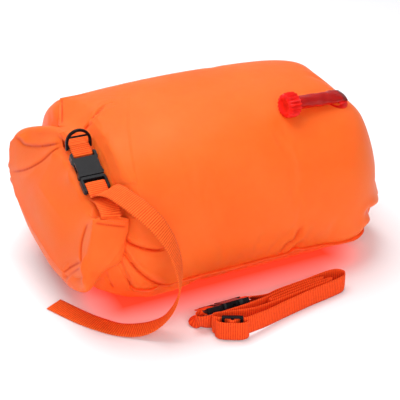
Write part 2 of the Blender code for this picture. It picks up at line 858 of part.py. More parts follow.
def make_buckle(prefix, frame, plastic, parts, cutters):
    """A side release buckle: the socket, and on its slide the plug with its two sprung prongs."""
    base = frame_empty(prefix + "_frame", frame, parts)
    half_width, half_thickness = buckle_width / 2, buckle_thickness / 2
    length, mouth = socket_length(), socket_length() + moving_gap
    wall = length - cavity_length
    waist = half_width * 0.9
    outline = [
        (0.0, half_width * 0.8),
        (bar_length / 2, half_width),
        (wall, half_width),
        (wall + window_start, waist),
        (wall + window_start + window_length, waist),
        (length - bar_length, half_width * 0.97),
        (length - bar_length / 3, half_width * 0.95),
        (length, half_width * 0.88),
    ]
    outline += [(x, -y) for x, y in reversed(outline)]
    slot = rounded_box(bar_length, -slot_width / 2, bar_length + slot_length, slot_width / 2, buckle_edge)
    level = Matrix.Translation((0.0, 0.0, half_thickness))
    socket = plate(prefix + "_socket", [outline, slot], buckle_thickness, plastic, parts, base, level)
    round_edges(socket, buckle_edge)
    cavity_height = half_thickness - socket_shell
    hollows = [
        block(
            prefix + "_cavity_cutter",
            (wall, -cavity_width / 2, half_thickness - cavity_height),
            (length + bar_length, cavity_width / 2, half_thickness + cavity_height),
            plastic, cutters, base,
        ),
        block(
            prefix + "_window_cutter",
            (wall + window_start, -buckle_width, half_thickness - cavity_height + window_margin / 2),
            (wall + window_start + window_length, buckle_width, half_thickness + cavity_height - window_margin / 2),
            plastic, cutters, base,
        ),
    ]
    hollows += bar_cutters(prefix + "_socket_bar", -bar_length, bar_length + slot_length / 2, plastic, cutters, base)
    for hollow in hollows:
        cut(socket, hide_cutter(hollow))

    slide = frame_empty(prefix + "_slide", Matrix.Identity(4), parts, base)
    end = plug_end_x()
    shoulder = half_width * 0.88
    outline = [
        (mouth, shoulder),
        (mouth + plug_base_length / 2, half_width * 0.95),
        (mouth + plug_base_length, half_width),
        (end - bar_length / 2, half_width),
        (end, half_width * 0.85),
    ]
    outline += [(x, -y) for x, y in reversed(outline)]
    loops = [outline]
    for start in (mouth + plug_base_length, grip_bar_x() + bar_length):
        loops.append(rounded_box(start, -slot_width / 2, start + slot_length, slot_width / 2, buckle_edge))
    plug_thickness = buckle_thickness - 2 * plug_height_inset
    plug = plate(prefix + "_plug", loops, plug_thickness, plastic, parts, slide, level)
    round_edges(plug, buckle_edge)
    inner = mouth + plug_base_length + slot_length / 2
    for cutter in bar_cutters(prefix + "_plug_bar", inner, end + bar_length, plastic, cutters, slide):
        cut(plug, hide_cutter(cutter))
    guide = block(
        prefix + "_guide",
        (mouth - guide_length, -guide_width / 2, half_thickness - guide_height / 2),
        (mouth + plug_base_length / 2, guide_width / 2, half_thickness + guide_height / 2),
        plastic, cutters, slide,
    )
    cut(plug, hide_cutter(guide), "UNION")
    for name, side in (("left", -1), ("right", 1)):
        pivot = frame_empty(
            f"{prefix}_prong_{name}_pivot",
            Matrix.Translation((length, side * prong_offset, half_thickness)), parts, slide,
        )
        inside, outside = -prong_thickness / 2, prong_thickness / 2
        pad = pad_reach - prong_offset
        outline = [
            (0.0, inside),
            (0.0, outside),
            (pad_length - prong_length, outside),
            (pad_length - prong_length - pad_reach / 6, pad),
            (-prong_length + pad_reach / 6, pad),
            (-prong_length, pad / 2),
            (-prong_length, inside),
        ]
        outline = [(x, side * y) for x, y in outline]
        prong = plate(f"{prefix}_prong_{name}", [outline], prong_height, plastic, parts, pivot)
        round_edges(prong, buckle_edge / 2)


def bar_cutters(name, low_x, high_x, material, cutters, parent):
    """The space above and below a bar, so that the bar stays thinner than the buckle."""
    half_slot = slot_width / 2
    top = bar_base_height + bar_thickness
    return [
        block(
            name + "_top_cutter", (low_x, -half_slot, top), (high_x, half_slot, buckle_thickness * 2),
            material, cutters, parent,
        ),
        block(
            name + "_low_cutter", (low_x, -half_slot, -buckle_thickness), (high_x, half_slot, bar_base_height),
            material, cutters, parent,
        ),
    ]


def under_buckle(y):
    """The highest place of the neck under the closure buckle's width."""
    skin = on_neck(buckle_x + buckle_width / 2, y)
    return Vector((buckle_x, y, skin.z))


def closure_frame():
    """The closure buckle's frame: parallel to the neck's chord and just clear of the neck's rise above it."""
    top, low = under_buckle(buckle_top_y), under_buckle(buckle_low_y)
    along = (low - top).normalized()
    outward = Vector((1.0, 0.0, 0.0)).cross(along)
    if outward.z < 0:
        outward = -outward
    steps = [top.y + (low.y - top.y) * i / 12 for i in range(13)]
    rise = max((under_buckle(y) - top).dot(outward) for y in steps)
    return frame_at(top + outward * (rise + buckle_clearance), along, outward)


def belt_frame():
    tilt = math.radians(belt_buckle_tilt)
    outward = Vector((0.0, math.sin(tilt), math.cos(tilt)))
    middle = Vector((belt_buckle_x, belt_buckle_y, belt_buckle_z))
    return frame_at(middle - outward * (buckle_thickness / 2), Vector((-1.0, 0.0, 0.0)), outward)


def make_ring(plastic, parts, cutters, frame):
    """The D-ring, which stands upright on its bar. Its bar turns in the webbing tab."""
    place = frame @ Vector((-ring_offset, 0.0, bar_centre_z()))
    pivot = frame_empty("d_ring_pivot", Matrix.Translation(place), parts)
    inner, outer = ring_inner_width / 2, ring_inner_width / 2 + ring_wire
    outline = [(outer, -ring_foot_length), (outer, ring_straight_length)]
    outline += arc((0.0, ring_straight_length), outer, 0.0, 180.0, 14)[1:]
    outline += [(-outer, -ring_foot_length), (-inner, -ring_foot_length), (-inner, ring_straight_length)]
    outline += arc((0.0, ring_straight_length), inner, 180.0, 0.0, 14)[1:]
    outline += [(inner, -ring_foot_length)]
    stand = Matrix.Rotation(math.pi / 2, 4, "X")
    ring = plate("d_ring", [outline], ring_wire, plastic, parts, pivot, stand)
    round_edges(ring, ring_wire / 4)
    bar = cylinder(
        "ring_bar", ring_wire / 2 - webbing_slack / 4, ring_inner_width + ring_wire, (0, 0, 0), plastic, cutters,
        parent=pivot, sides=12, turn=Matrix.Rotation(math.pi / 2, 3, "Y"),
    )
    cut(ring, hide_cutter(bar), "UNION")


def make_tab(webbing, parts, frame):
    """The webbing tab: sewn round the D-ring's bar and the socket's bar, with a tail down to the roll's end."""
    hole_low = bar_base_height - webbing_slack
    hole_high = bar_base_height + bar_thickness + webbing_slack
    left = -ring_offset - ring_wire / 2 - webbing_slack
    right = bar_length + webbing_slack
    inner_round = buckle_edge
    hole = rounded_box(left, hole_low, right, hole_high, inner_round)
    low, high = hole_low - webbing_thickness, hole_high + webbing_thickness
    far_left, far_right = left - webbing_thickness, right + webbing_thickness
    radius = inner_round + webbing_thickness
    outline = arc((far_right - radius, high - radius), radius, 0.0, 90.0, 4)
    outline += arc((far_left + radius, high - radius), radius, 90.0, 180.0, 4)
    into_frame = frame.inverted()
    upper, lower = [], []
    for i in range(1, 7):
        place = frame @ Vector((far_left, 0.0, 0.0))
        skin = under_buckle(place.y + tab_length * i / 6)
        lower.append(into_frame @ (skin + Vector((0.0, 0.0, tab_lift))))
        upper.append(into_frame @ (skin + Vector((0.0, 0.0, tab_lift + webbing_thickness))))
    outline += [(point.x, point.z) for point in upper]
    outline += [(point.x, point.z) for point in reversed(lower)]
    outline += arc((far_left + radius, low + radius), radius, 250.0, 270.0, 2)
    outline += arc((far_right - radius, low + radius), radius, 270.0, 360.0, 4)
    stand = frame @ Matrix.Rotation(math.pi / 2, 4, "X")
    plate("anchor_tab", [outline, hole], webbing_width, webbing, parts, turn=stand)


# The valve

def skin_frame(x, y, lift):
    """A frame above the skin: Z along the skin's normal, X towards the roll."""
    step = flange_thickness
    along = on_dome(x - step, y) - on_dome(x + step, y)
    side = on_dome(x, y + step) - on_dome(x, y - step)
    normal = along.cross(side)
    if normal.z < 0:
        normal = -normal
    normal.normalize()
    return frame_at(on_dome(x, y) + normal * lift, along, normal)


def valve_frame_matrix():
    return skin_frame(base_reach - valve_setback, valve_y, seat_gap)


def tube_frame(valve_frame):
    """The tube's frame at its fold: X runs along the tube to the cap, which rests on the skin."""
    half_height = valve_tube_radius * valve_flat_share
    start = valve_frame @ Vector((0.0, 0.0, flange_thickness + half_height + valve_fold_lift))
    cap_x = base_reach - valve_setback - valve_tube_length - cap_length / 2
    resting = skin_frame(cap_x, cap_y, cap_radius + cap_rib_depth + 2 * moving_gap).to_translation()
    return frame_at(start, resting - start, valve_frame.to_3x3() @ Vector((0.0, 0.0, 1.0)))


def make_valve(vinyl, parts, cutters, valve_frame):
    flange = cylinder(
        "valve_flange", flange_radius, flange_thickness, (0, 0, flange_thickness / 2), vinyl, parts,
        parent=valve_frame, sides=36,
    )
    bore = cylinder(
        "flange_bore_cutter", bore_radius, flange_thickness * 6, (0, 0, 0), vinyl, cutters,
        parent=valve_frame, sides=16,
    )
    cut(flange, hide_cutter(bore))
    fold = frame_empty("valve_fold", tube_frame(valve_frame_matrix()), parts)
    rows = []
    shares = (0.0, 0.06, 0.14, 0.26, 0.45, 0.65, 0.85, 1.0)
    for share in shares:
        opened = min(share / shares[3], 1.0)
        opened = opened * opened * (3 - 2 * opened)
        high = valve_tube_radius * (valve_fold_share + (valve_flat_share - valve_fold_share) * opened)
        wide = valve_tube_radius * (valve_fold_wide_share + (1 - valve_fold_wide_share) * opened)
        row = []
        for i in range(24):
            angle = math.tau * i / 24
            drop = high - valve_tube_radius * valve_flat_share
            row.append(Vector((share * valve_tube_length, wide * math.cos(angle), high * math.sin(angle) + drop)))
        rows.append(row)
    tube = loft("valve_tube", rows, vinyl, parts, fold, ring=True, flip=True)
    thicken(tube, valve_wall)
    stem_start = valve_tube_length + cap_bore_depth - stem_length
    lie = Matrix.Rotation(math.pi / 2, 3, "Y")
    cylinder(
        "valve_stem", stem_radius, stem_length - moving_gap, (stem_start + stem_length / 2, 0, 0), vinyl, parts,
        parent=fold, sides=24, turn=lie,
    )
    twist = frame_empty(
        "cap_twist", Matrix.Translation((valve_tube_length + moving_gap, 0.0, 0.0)), parts, fold
    )
    profile = ((0.0, 0.72), (0.12, 0.95), (0.3, 1.0), (0.75, 0.98), (0.92, 0.9), (1.0, 0.7), (0.94, 0.45))
    rows = []
    for length_share, radius_share in profile:
        row = []
        for i in range(cap_ribs * 4):
            angle = math.tau * i / (cap_ribs * 4)
            ripple = cap_rib_depth * math.cos(cap_ribs * angle) * min(radius_share * 2 - 1, 1.0)
            radius = cap_radius * radius_share + ripple
            row.append(Vector((length_share * cap_length, radius * math.cos(angle), radius * math.sin(angle))))
        rows.append(row)
    cap = loft("valve_twist_cap", rows, vinyl, parts, twist, ring=True, caps=True)
    bore = cylinder(
        "cap_bore_cutter", stem_radius + moving_gap, cap_bore_depth * 2, (0, 0, 0), vinyl, cutters,
        parent=twist, sides=24, turn=lie,
    )
    cut(cap, hide_cutter(bore))


def main():
    for obj in list(bpy.data.objects):
        bpy.data.objects.remove(obj)
    parts = make_collection("swim_buoy_dry_bag")
    cutters = make_collection("cutters")
    fabric = make_material("coated_nylon", (0.95, 0.22, 0.05), 0.45)
    webbing = make_material("polyester_webbing", (0.85, 0.12, 0.02), 0.75)
    plastic = make_material("buckle_plastic", (0.02, 0.02, 0.022), 0.35)
    vinyl = make_material("valve_vinyl", (0.75, 0.02, 0.02), 0.25)
    stiffener = make_material("strip_plastic", (0.8, 0.8, 0.78), 0.5)

    valve_frame = frame_empty("valve_frame", valve_frame_matrix(), parts)
    make_skins(fabric, parts, cutters, valve_frame)
    make_chamber_walls(fabric, parts)
    make_welds(fabric, parts)
    make_neck(fabric, parts)
    make_roll(fabric, stiffener, parts)
    make_valve(vinyl, parts, cutters, valve_frame)

    closure = closure_frame()
    make_buckle("buckle", closure, plastic, parts, cutters)
    make_ring(plastic, parts, cutters, closure)
    make_tab(webbing, parts, closure)
    make_closure_strap(webbing, parts, closure)

    folded = belt_frame()
    make_buckle("belt", folded, plastic, parts, cutters)
    make_belt(webbing, parts, folded)
    make_slider(plastic, parts)


main()
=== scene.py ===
"""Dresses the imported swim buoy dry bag: cloth, webbing, plastic and vinyl, with the floor, light and camera."""

import json
import math

import bmesh
import bpy
import numpy as np
from mathutils import Matrix, Vector
from mathutils.bvhtree import BVHTree
from mathutils.kdtree import KDTree


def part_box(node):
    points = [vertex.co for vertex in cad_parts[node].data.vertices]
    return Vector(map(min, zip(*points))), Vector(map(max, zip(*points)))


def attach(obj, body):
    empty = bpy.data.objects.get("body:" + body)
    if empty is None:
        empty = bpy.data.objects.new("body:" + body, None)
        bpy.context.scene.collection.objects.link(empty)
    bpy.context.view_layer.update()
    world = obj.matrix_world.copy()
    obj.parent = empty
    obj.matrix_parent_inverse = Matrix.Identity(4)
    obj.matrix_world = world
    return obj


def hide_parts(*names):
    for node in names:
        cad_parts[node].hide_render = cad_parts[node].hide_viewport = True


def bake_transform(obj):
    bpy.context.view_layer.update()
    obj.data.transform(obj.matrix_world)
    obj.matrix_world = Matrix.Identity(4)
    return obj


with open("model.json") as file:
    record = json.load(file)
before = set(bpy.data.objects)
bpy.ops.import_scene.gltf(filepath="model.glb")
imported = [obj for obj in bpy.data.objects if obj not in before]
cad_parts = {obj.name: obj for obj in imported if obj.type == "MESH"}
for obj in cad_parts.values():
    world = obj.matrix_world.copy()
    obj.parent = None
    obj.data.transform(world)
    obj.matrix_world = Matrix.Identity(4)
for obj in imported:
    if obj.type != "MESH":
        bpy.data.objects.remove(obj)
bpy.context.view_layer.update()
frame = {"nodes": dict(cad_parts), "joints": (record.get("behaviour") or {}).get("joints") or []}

bl_info = {
    "name": "Swim buoy dry bag",
    "version": (1, 0, 0),
    "blender": (4, 5, 0),
    "location": "View3D > Sidebar > Swim buoy",
    "description": "Makes the cloth, webbing, plastic and vinyl of an inflatable buoy with a rolled mouth",
    "category": "Add Mesh",
}

# The bag's form, in the same lengths as its solids
BODY_HALF_WIDTH = 0.152
BODY_HEIGHT = 0.222
WIDEST_HEIGHT = 0.092
WELD_HEIGHT = 0.042
FLAT_SAG = 0.006
BASE_REACH = 0.219
BASE_ROUND_LENGTH = 0.100
BASE_POWER = 6.0
BASE_CORNER_SHARE = 0.42
BASE_CORNER_POWER = 3
BASE_HALF_HEIGHT = 0.11
CROWN_SHARE = 0.06
WAIST_SHARE = 0.03
DOME_POWER = 2.6
BELLY_POWER = 2.5
SHOULDER_START = -0.136
LOWEST = 0.0002
COLLAR_ROWS, BODY_ROWS, BASE_ROWS = 22, 58, 44
ARC_STEPS = 84
AIR_FRAMES = 20
CLOTH_THICKNESS = 0.0009

# The shoulder and the collar behind it: places along the bag, and the share of the full section at each of them
# over the buckle, at the near side and at the far side
COLLAR = (
    (-0.136, 1.000, 1.000, 1.000),
    (-0.144, 0.999, 0.990, 1.000),
    (-0.150, 0.985, 0.965, 1.000),
    (-0.154, 0.930, 0.930, 1.000),
    (-0.158, 0.800, 0.890, 1.000),
    (-0.162, 0.732, 0.866, 0.985),
    (-0.168, 0.726, 0.855, 0.965),
    (-0.173, 0.724, 0.845, 0.930),
    (-0.177, 0.722, 0.835, 0.860),
    (-0.182, 0.715, 0.815, 0.790),
    (-0.188, 0.700, 0.770, 0.740),
    (-0.194, 0.680, 0.700, 0.700),
)

# How the inflated base leans: outward at the floor and inward above, with its far upper corner pulled flat
LOW_LEAN = 0.010
LOW_LEAN_DEPTHS = (-0.100, -0.052)
HIGH_LEAN = 0.008
HIGH_LEAN_HEIGHTS = (0.085, 0.175)
LEAN_PLACES = (0.09, 0.215)
NEAR_SIDE = (-0.02, 0.06)
CORNER_FLAT = ((0.1907, 0.0700, 0.1974), (0.6785, -0.0393, 0.7336), 0.0022)

# Where the seam puckers at the base's near corner: the place, how far each pucker reaches, and its move
SEAM_PUCKERS = (
    ((0.212, -0.11, 0.04), (0.03, 0.022, 0.02), (-0.014, 0.004, 0.0)),
    ((0.216, -0.094, 0.044), (0.018, 0.016, 0.012), (-0.01, 0.004, 0.002)),
    ((0.192, -0.122, 0.046), (0.022, 0.02, 0.014), (-0.011, 0.002, -0.001)),
    ((0.222, -0.078, 0.058), (0.012, 0.012, 0.01), (0.003, -0.002, 0.001)),
    ((0.15, -0.14, 0.044), (0.04, 0.02, 0.016), (0.0, -0.005, -0.004)),
    ((0.07, -0.14, 0.044), (0.007, 0.02, 0.014), (0.0, 0.004, 0.003)),
)

# The welded rim: where it starts, its width, and its section as shares of reach and rise
RIM_START = -0.158
RIM_STEPS = 420
RIM_WIDTH = 0.0052
RIM_TUCK = 0.002
RIM_HALF_THICKNESS = 0.0008
RIM_SECTION = ((-1.0, -0.7), (0.35, -0.75), (0.8, -0.55), (1.0, 0.0), (0.8, 0.55), (0.35, 0.75), (-1.0, 0.7))

# Where the closure buckle and its tab rest on the cloth, in the buckle's own frame
BUCKLE_REST_MIDDLE = 0.024
BUCKLE_REST_REACH = 0.078
BUCKLE_REST_FADE = 0.012
BUCKLE_HALF_WIDTH = 0.019
BUCKLE_NEAR = 0.02
BUCKLE_PRESS_FROM = -0.016
BUCKLE_PRESS_TO = 0.096
BUCKLE_GAP = 0.0005

# The rolled mouth's stations: the place in shares of its reach, half span and height, the direction across it,
# and the width, thickness and bulge in shares of its half width and half thickness
ROLL_SIZES = (0.240, 0.125, 0.190, 0.072, 0.014)
ROLL_STATIONS = (
    ((-0.722, -0.05, 1.020), (0.9, 0.0, -0.35), 0.17, 0.46, 0.0),
    ((-0.764, 0.32, 0.955), (0.8, -0.2, -0.30), 0.19, 0.66, 0.0),
    ((-0.808, 0.62, 0.845), (0.6, -0.5, -0.35), 0.26, 0.80, 0.0),
    ((-0.842, 0.79, 0.735), (0.45, -0.85, -0.10), 0.36, 0.90, 0.1),
    ((-0.862, 0.76, 0.630), (0.36, -0.75, 0.50), 0.54, 0.90, 0.3),
    ((-0.870, 0.58, 0.552), (0.24, -0.28, 0.92), 0.68, 0.90, 0.5),
    ((-0.872, 0.26, 0.520), (0.18, 0.0, 0.98), 0.82, 0.90, 0.7),
    ((-0.870, -0.10, 0.505), (0.18, 0.0, 0.98), 0.84, 0.90, 0.8),
    ((-0.862, -0.42, 0.475), (0.20, 0.1, 0.97), 0.80, 0.90, 0.7),
    ((-0.846, -0.74, 0.440), (0.25, 0.2, 0.94), 0.66, 0.90, 0.4),
    ((-0.820, -0.98, 0.430), (0.60, 0.1, 0.75), 0.46, 0.84, 0.1),
    ((-0.792, -1.09, 0.520), (0.98, -0.1, 0.05), 0.34, 0.66, 0.0),
    ((-0.764, -1.11, 0.660), (1.0, 0.0, -0.05), 0.32, 0.46, 0.0),
    ((-0.742, -1.08, 0.785), (1.0, 0.0, -0.05), 0.30, 0.22, 0.0),
)

# The collar under the roll's fold, and the stiffening strips inside the roll
ROLL_RING = 72
COLLAR_HALF_WIDTH = 0.72 * 0.149
COLLAR_RISE = 0.715 * 0.127
STRIP_HALF_WIDTH = 0.009
STRIP_HALF_THICKNESS = 0.0004
STRIP_OFFSET = 0.0006

# Webbing and buckles
WEBBING_STEP = 0.0006
WEBBING_WIDTH = 0.025
WEBBING_THICKNESS = 0.0015
WEBBING_SLACK = 0.0007
BAR_LENGTH = 0.0035
BAR_THICKNESS = 0.0026
BAR_BASE_HEIGHT = 0.00345
SLOT_LENGTH = 0.005
SOCKET_LENGTH = 0.036
PLUG_BASE_LENGTH = 0.0048
BAR_CENTRE = BAR_BASE_HEIGHT + BAR_THICKNESS / 2
PLY_OFFSET = BAR_LENGTH / 2 + WEBBING_SLACK + WEBBING_THICKNESS / 2
GRIP_BAR = SOCKET_LENGTH + 0.0004 + PLUG_BASE_LENGTH + SLOT_LENGTH
PLUG_END = GRIP_BAR + BAR_LENGTH + SLOT_LENGTH + BAR_LENGTH
TURN_STEPS = 14
CLOSURE_PLACE = (-0.177, -0.03882, 0.18626)
BELT_BUCKLE_PLACE = (-0.020, -0.17852, 0.00967)
BELT_BUCKLE_LEAN = 32.0
BELT_END_LAP = 0.014
RING_OFFSET = 0.0115
RING_WIRE = 0.0034
CROSSBAR_PLACE = -0.0172
CROSSBAR_RADIUS = 0.0013

# The closure strap from the ladder bars to its cut end: places in spans, and the direction across it
STRAP_SPAN = 0.100
STRAP_STATIONS = (
    ((-1.684, -1.174, 1.760), (0.85, 0.45, 0.25)),
    ((-1.595, -1.414, 1.750), (0.75, 0.60, 0.30)),
    ((-1.485, -1.647, 1.680), (0.65, 0.65, 0.40)),
    ((-1.364, -1.807, 1.540), (0.60, 0.65, 0.45)),
    ((-1.259, -1.892, 1.335), (0.60, 0.70, 0.40)),
    ((-1.186, -1.922, 1.100), (0.60, 0.75, 0.25)),
    ((-1.161, -1.946, 0.885), (0.55, 0.80, 0.15)),
    ((-1.165, -1.936, 0.650), (0.50, 0.85, 0.00)),
    ((-1.227, -1.911, 0.440), (0.45, 0.85, -0.10)),
    ((-1.330, -1.850, 0.250), (0.50, 0.85, -0.10)),
    ((-1.450, -1.770, 0.130), (0.55, 0.80, 0.05)),
    ((-1.600, -1.660, 0.050), (0.60, 0.75, 0.10)),
    ((-1.790, -1.510, 0.016), (0.66, 0.75, 0.00)),
    ((-1.970, -1.300, 0.013), (0.75, 0.66, 0.00)),
    ((-2.130, -1.060, 0.013), (0.84, 0.54, 0.00)),
    ((-2.340, -0.660, 0.013), (0.88, 0.47, 0.00)),
)

# The belt's folds seen from above: place along, place across and lean, as shares of its span and spread
BELT_PLACE = (0.020, -0.200, 0.100, 0.020)
BELT_HEIGHT = 0.0004
BELT_FRONT = (
    (-0.16, 0.92, 0.6), (0.02, 0.84, 0.2), (0.4, 0.92, 0.0), (0.75, 1.15, 0.0), (0.9, 1.08, 0.0),
    (0.965, 0.68, 0.0), (0.9, 0.26, 0.0), (0.72, 0.04, 0.0), (0.4, -0.22, 0.0), (0.0, -0.62, 0.0),
    (-0.3, -1.02, 0.0), (-0.48, -1.24, 0.0),
)
BELT_RETURN = (
    (-0.95, -0.62, 0.0), (-0.99, -0.32, 0.0), (-0.93, -0.06, 0.0), (-0.7, -0.24, 0.0), (-0.4, -0.44, 0.0),
    (0.0, -0.2, 0.0), (0.4, 0.08, 0.0), (0.68, 0.24, 0.0), (0.745, 0.33, 0.0), (0.68, 0.42, 0.0),
    (0.4, 0.3, 0.0), (0.06, 0.06, 0.0), (-0.14, -0.08, 0.0), (-0.19, 0.01, 0.0), (-0.14, 0.11, 0.0),
    (0.06, 0.3, 0.0), (0.4, 0.51, 0.0), (0.6, 0.6, 0.0), (0.655, 0.67, 0.0), (0.6, 0.74, 0.0),
    (0.4, 0.72, 0.0), (0.06, 0.55, 0.0), (-0.2, 0.3, 0.0), (-0.45, 0.12, 0.0), (-0.78, 0.08, 0.1),
    (-0.99, 0.16, 0.3), (-1.11, 0.45, 0.7), (-1.11, 0.85, 1.2),
)

# The belt's slider: its place and heading, its sizes, and the routes of two plies past it
SLIDER = (-0.061, -0.2225, 153.4)
SLIDER_LENGTH = 0.026
SLIDER_WIDTH = 0.032
SLIDER_OPENING = 0.0262
SLIDER_THICKNESS = 0.0032
SLIDER_BAR = 0.0036
SLIDER_WEAVE = ((0.16, 1.05), (0.5, 0.0), (0.82, -1.05), (1.1, -1.0), (1.45, -0.8))
SLIDER_COVER = ((0.4, 1.90), (0.9, 1.80), (1.4, 1.30), (1.65, 0.5), (1.8, -0.3))

# The inflation tube: points in a ring, the row at its fold, its radius, and the shares of it in width and height
TUBE_RING = 48
TUBE_FOLD_ROW = 40
TUBE_RADIUS = 0.0105
TUBE_SHAPES = (
    (0.85, 0.40), (0.95, 0.28), (1.02, 0.20), (1.02, 0.26), (1.00, 0.46), (0.96, 0.64), (0.90, 0.72),
    (0.86, 0.76), (0.80, 0.80),
)

# The finish of the pieces that keep the shape of their solid
NODE_FINISHES = {
    "moulded_plastic": (
        "d_ring", "buckle_socket", "buckle_plug", "buckle_prong_left", "buckle_prong_right", "belt_socket",
        "belt_plug", "belt_prong_left", "belt_prong_right", "belt_slider",
    ),
    "soft_vinyl": ("valve_flange", "valve_stem", "valve_twist_cap"),
    "coated_cloth": ("front_chamber_wall", "back_chamber_wall"),
}

# The camera: turn and rise in degrees, its distance, the point it looks at, its focal length in units of its
# view, and how many of those units its square view is wide
CAMERA_TURN = -25.0
CAMERA_RISE = 30.0
CAMERA_DISTANCE = 1.5
CAMERA_TARGET = (-0.00718, -0.01541, 0.07056)
CAMERA_FOCUS = 1122.0
VIEW_SIZE = 400.0

# The roll's broad front as the camera sees it, in units of its view: its left and right edge as height down the
# view and place across it, and its folds. Each fold has the points of its line, its width in units, its depth
# in metres, and how far the cloth beside it stands out.
FRONT_LEFT_EDGE = (
    (129, 42), (131, 26), (135, 16), (142, 10), (150, 9), (172, 9.5), (195, 15), (228, 31), (258, 50),
    (270, 60), (278, 70),
)
FRONT_RIGHT_EDGE = (
    (129, 60), (146, 63), (160, 70), (175, 77), (190, 88), (200, 97), (212, 106), (214, 110), (219, 129),
    (224, 129), (232, 128), (242, 125), (252, 119), (262, 112), (272, 102), (278, 94),
)
FRONT_FREE_FROM = 212.0
FRONT_FOLDS = (
    (((13, 135), (19, 139), (26, 145), (42, 146), (62, 143)), 1.5, 0.003, 0.0045),
    (((8, 172), (20, 171), (30, 168), (42, 161), (52, 152), (62, 146)), 1.5, 0.003, 0.003),
    (((62, 284), (63, 274), (68, 269), (75, 265), (81, 262)), 1.5, 0.006, -0.0035),
    (((66, 282), (69, 276), (75, 271), (80, 268)), 1.3, 0.0045, 0.0),
    (((88, 223), (85, 231), (82, 242), (81, 254), (82, 266), (84, 278)), 1.4, 0.003, -0.002),
    (((95, 223), (108, 225), (127, 227)), 1.6, 0.0008, 0.0),
)
CLOTH_ROWS, CLOTH_COLUMNS = 150, 90
DRAWING_TURNS = 420
CLOTH_GAP = 0.0009
CLOTH_TUCK = 0.0024
EDGE_LIFT = 0.0018
HEM_LINES = (
    ((97, 216.5), (112, 219.0), (127, 221.5)), ((97, 219.0), (112, 221.5), (127, 224.0)),
)

# The cloth drawn from the bag's far shoulder down to the buckle, in the same way
SHOULDER_LEFT_EDGE = (
    (92.5, 92), (94, 81), (98, 60), (104, 58.5), (125, 58.5), (132, 62), (142, 68), (152, 76), (160, 84),
    (172, 90), (188, 98),
)
SHOULDER_RIGHT_EDGE = (
    (92.5, 136), (125, 136), (160, 138), (188, 142),
)
SHOULDER_FREE_TO = 126.0
SHOULDER_FOLDS = (
    (((84, 130), (88, 126), (96, 115), (104, 107), (117, 103)), 1.8, 0.0046, 0.0),
    (((62, 99), (62, 110), (62, 124)), 1.3, 0.002, 0.0),
)

# The cloth of the near collar, beside the flap, in the same way
COLLAR_LEFT_EDGE = (
    (214, 126), (232, 124), (242, 121), (252, 115), (262, 108), (272, 98), (284, 90), (289, 98), (294, 114),
    (297, 128),
)
COLLAR_RIGHT_EDGE = (
    (214, 134), (225, 152), (240, 168), (255, 182), (270, 192), (284, 190), (291, 172), (297, 150),
)
COLLAR_FOLDS = (
    (((122, 236), (130, 243), (143, 248), (156, 250), (166, 248)), 1.6, 0.005, 0.0025),
    (((119, 246), (128, 257), (134, 266), (143, 275), (156, 283), (174, 287)), 1.6, 0.0055, 0.003),
    (((116, 252), (120, 262), (126, 275), (134, 292)), 1.6, 0.0055, 0.003),
    (((104, 270), (108, 279), (114, 288)), 1.4, 0.0035, 0.0015),
)

# The lights: place and power
LIGHTS = (("key_light", (-0.2, 0.45, 1.75), 30.0), ("front_light", (-0.45, -1.85, 1.0), 20.0))
FLOOR_REACH = 6.0

# The painted glow: a red-orange tint and emission painted into the floor around the bag, standing in for the
# light that the lit cloth throws on the floor
PAINTED_GLOW_PLACE = (-0.010, -0.003)
PAINTED_GLOW_REACH = (0.146, 0.104)
PAINTED_GLOW_FADE = 0.074
PAINTED_GLOW_STRENGTH = 0.62

# Creases pressed into the cloth: the points that each runs through, its width and its depth
BAG_CREASES = (
    (((-0.158, 0.006, 0.196), (-0.148, 0.0015, 0.21), (-0.1423, -0.0004, 0.2158), (-0.13, 0.01, 0.2168),
     (-0.1228, 0.0195, 0.2171), (-0.1099, 0.018, 0.2179)), 0.0035, 0.003),
    (((-0.163, -0.13, 0.12), (-0.1435, -0.1484, 0.1107), (-0.1227, -0.1505, 0.1006)), 0.0042, 0.0068),
    (((-0.166, -0.122, 0.095), (-0.1536, -0.1334, 0.0849), (-0.1441, -0.1472, 0.0689),
     (-0.1193, -0.1399, 0.0443)), 0.0048, 0.0085),
    (((-0.168, -0.115, 0.075), (-0.1568, -0.1225, 0.0601), (-0.1545, -0.1294, 0.0464)), 0.0045, 0.0075),
    (((0.048, -0.14, 0.045), (0.0534, -0.147, 0.0571), (0.0639, -0.1485, 0.0642), (0.0678, -0.1507, 0.0763),
     (0.073, -0.1509, 0.0855)), 0.0036, 0.004),
    (((0.222, -0.085, 0.045), (0.209, -0.105, 0.054), (0.197, -0.123, 0.062), (0.186, -0.134, 0.068),
     (0.176, -0.141, 0.072)), 0.006, 0.009),
    (((-0.163, 0.13, 0.125), (-0.145, 0.1484, 0.112), (-0.118, 0.1505, 0.098)), 0.004, 0.003),
    (((-0.165, 0.122, 0.09), (-0.15, 0.14, 0.078), (-0.128, 0.142, 0.05)), 0.004, 0.0034),
    (((-0.02, 0.14, 0.045), (-0.012, 0.149, 0.062), (0.002, 0.151, 0.078)), 0.0034, 0.0026),
    (((0.15, 0.15, 0.088), (0.168, 0.143, 0.07), (0.182, 0.125, 0.056)), 0.008, 0.007),
    (((0.215, 0.03, 0.1), (0.218, 0.02, 0.075), (0.2185, 0.01, 0.045)), 0.0045, 0.0028),
    (((0.214, -0.04, 0.11), (0.218, -0.03, 0.08), (0.2185, -0.02, 0.045)), 0.0045, 0.0026),
)
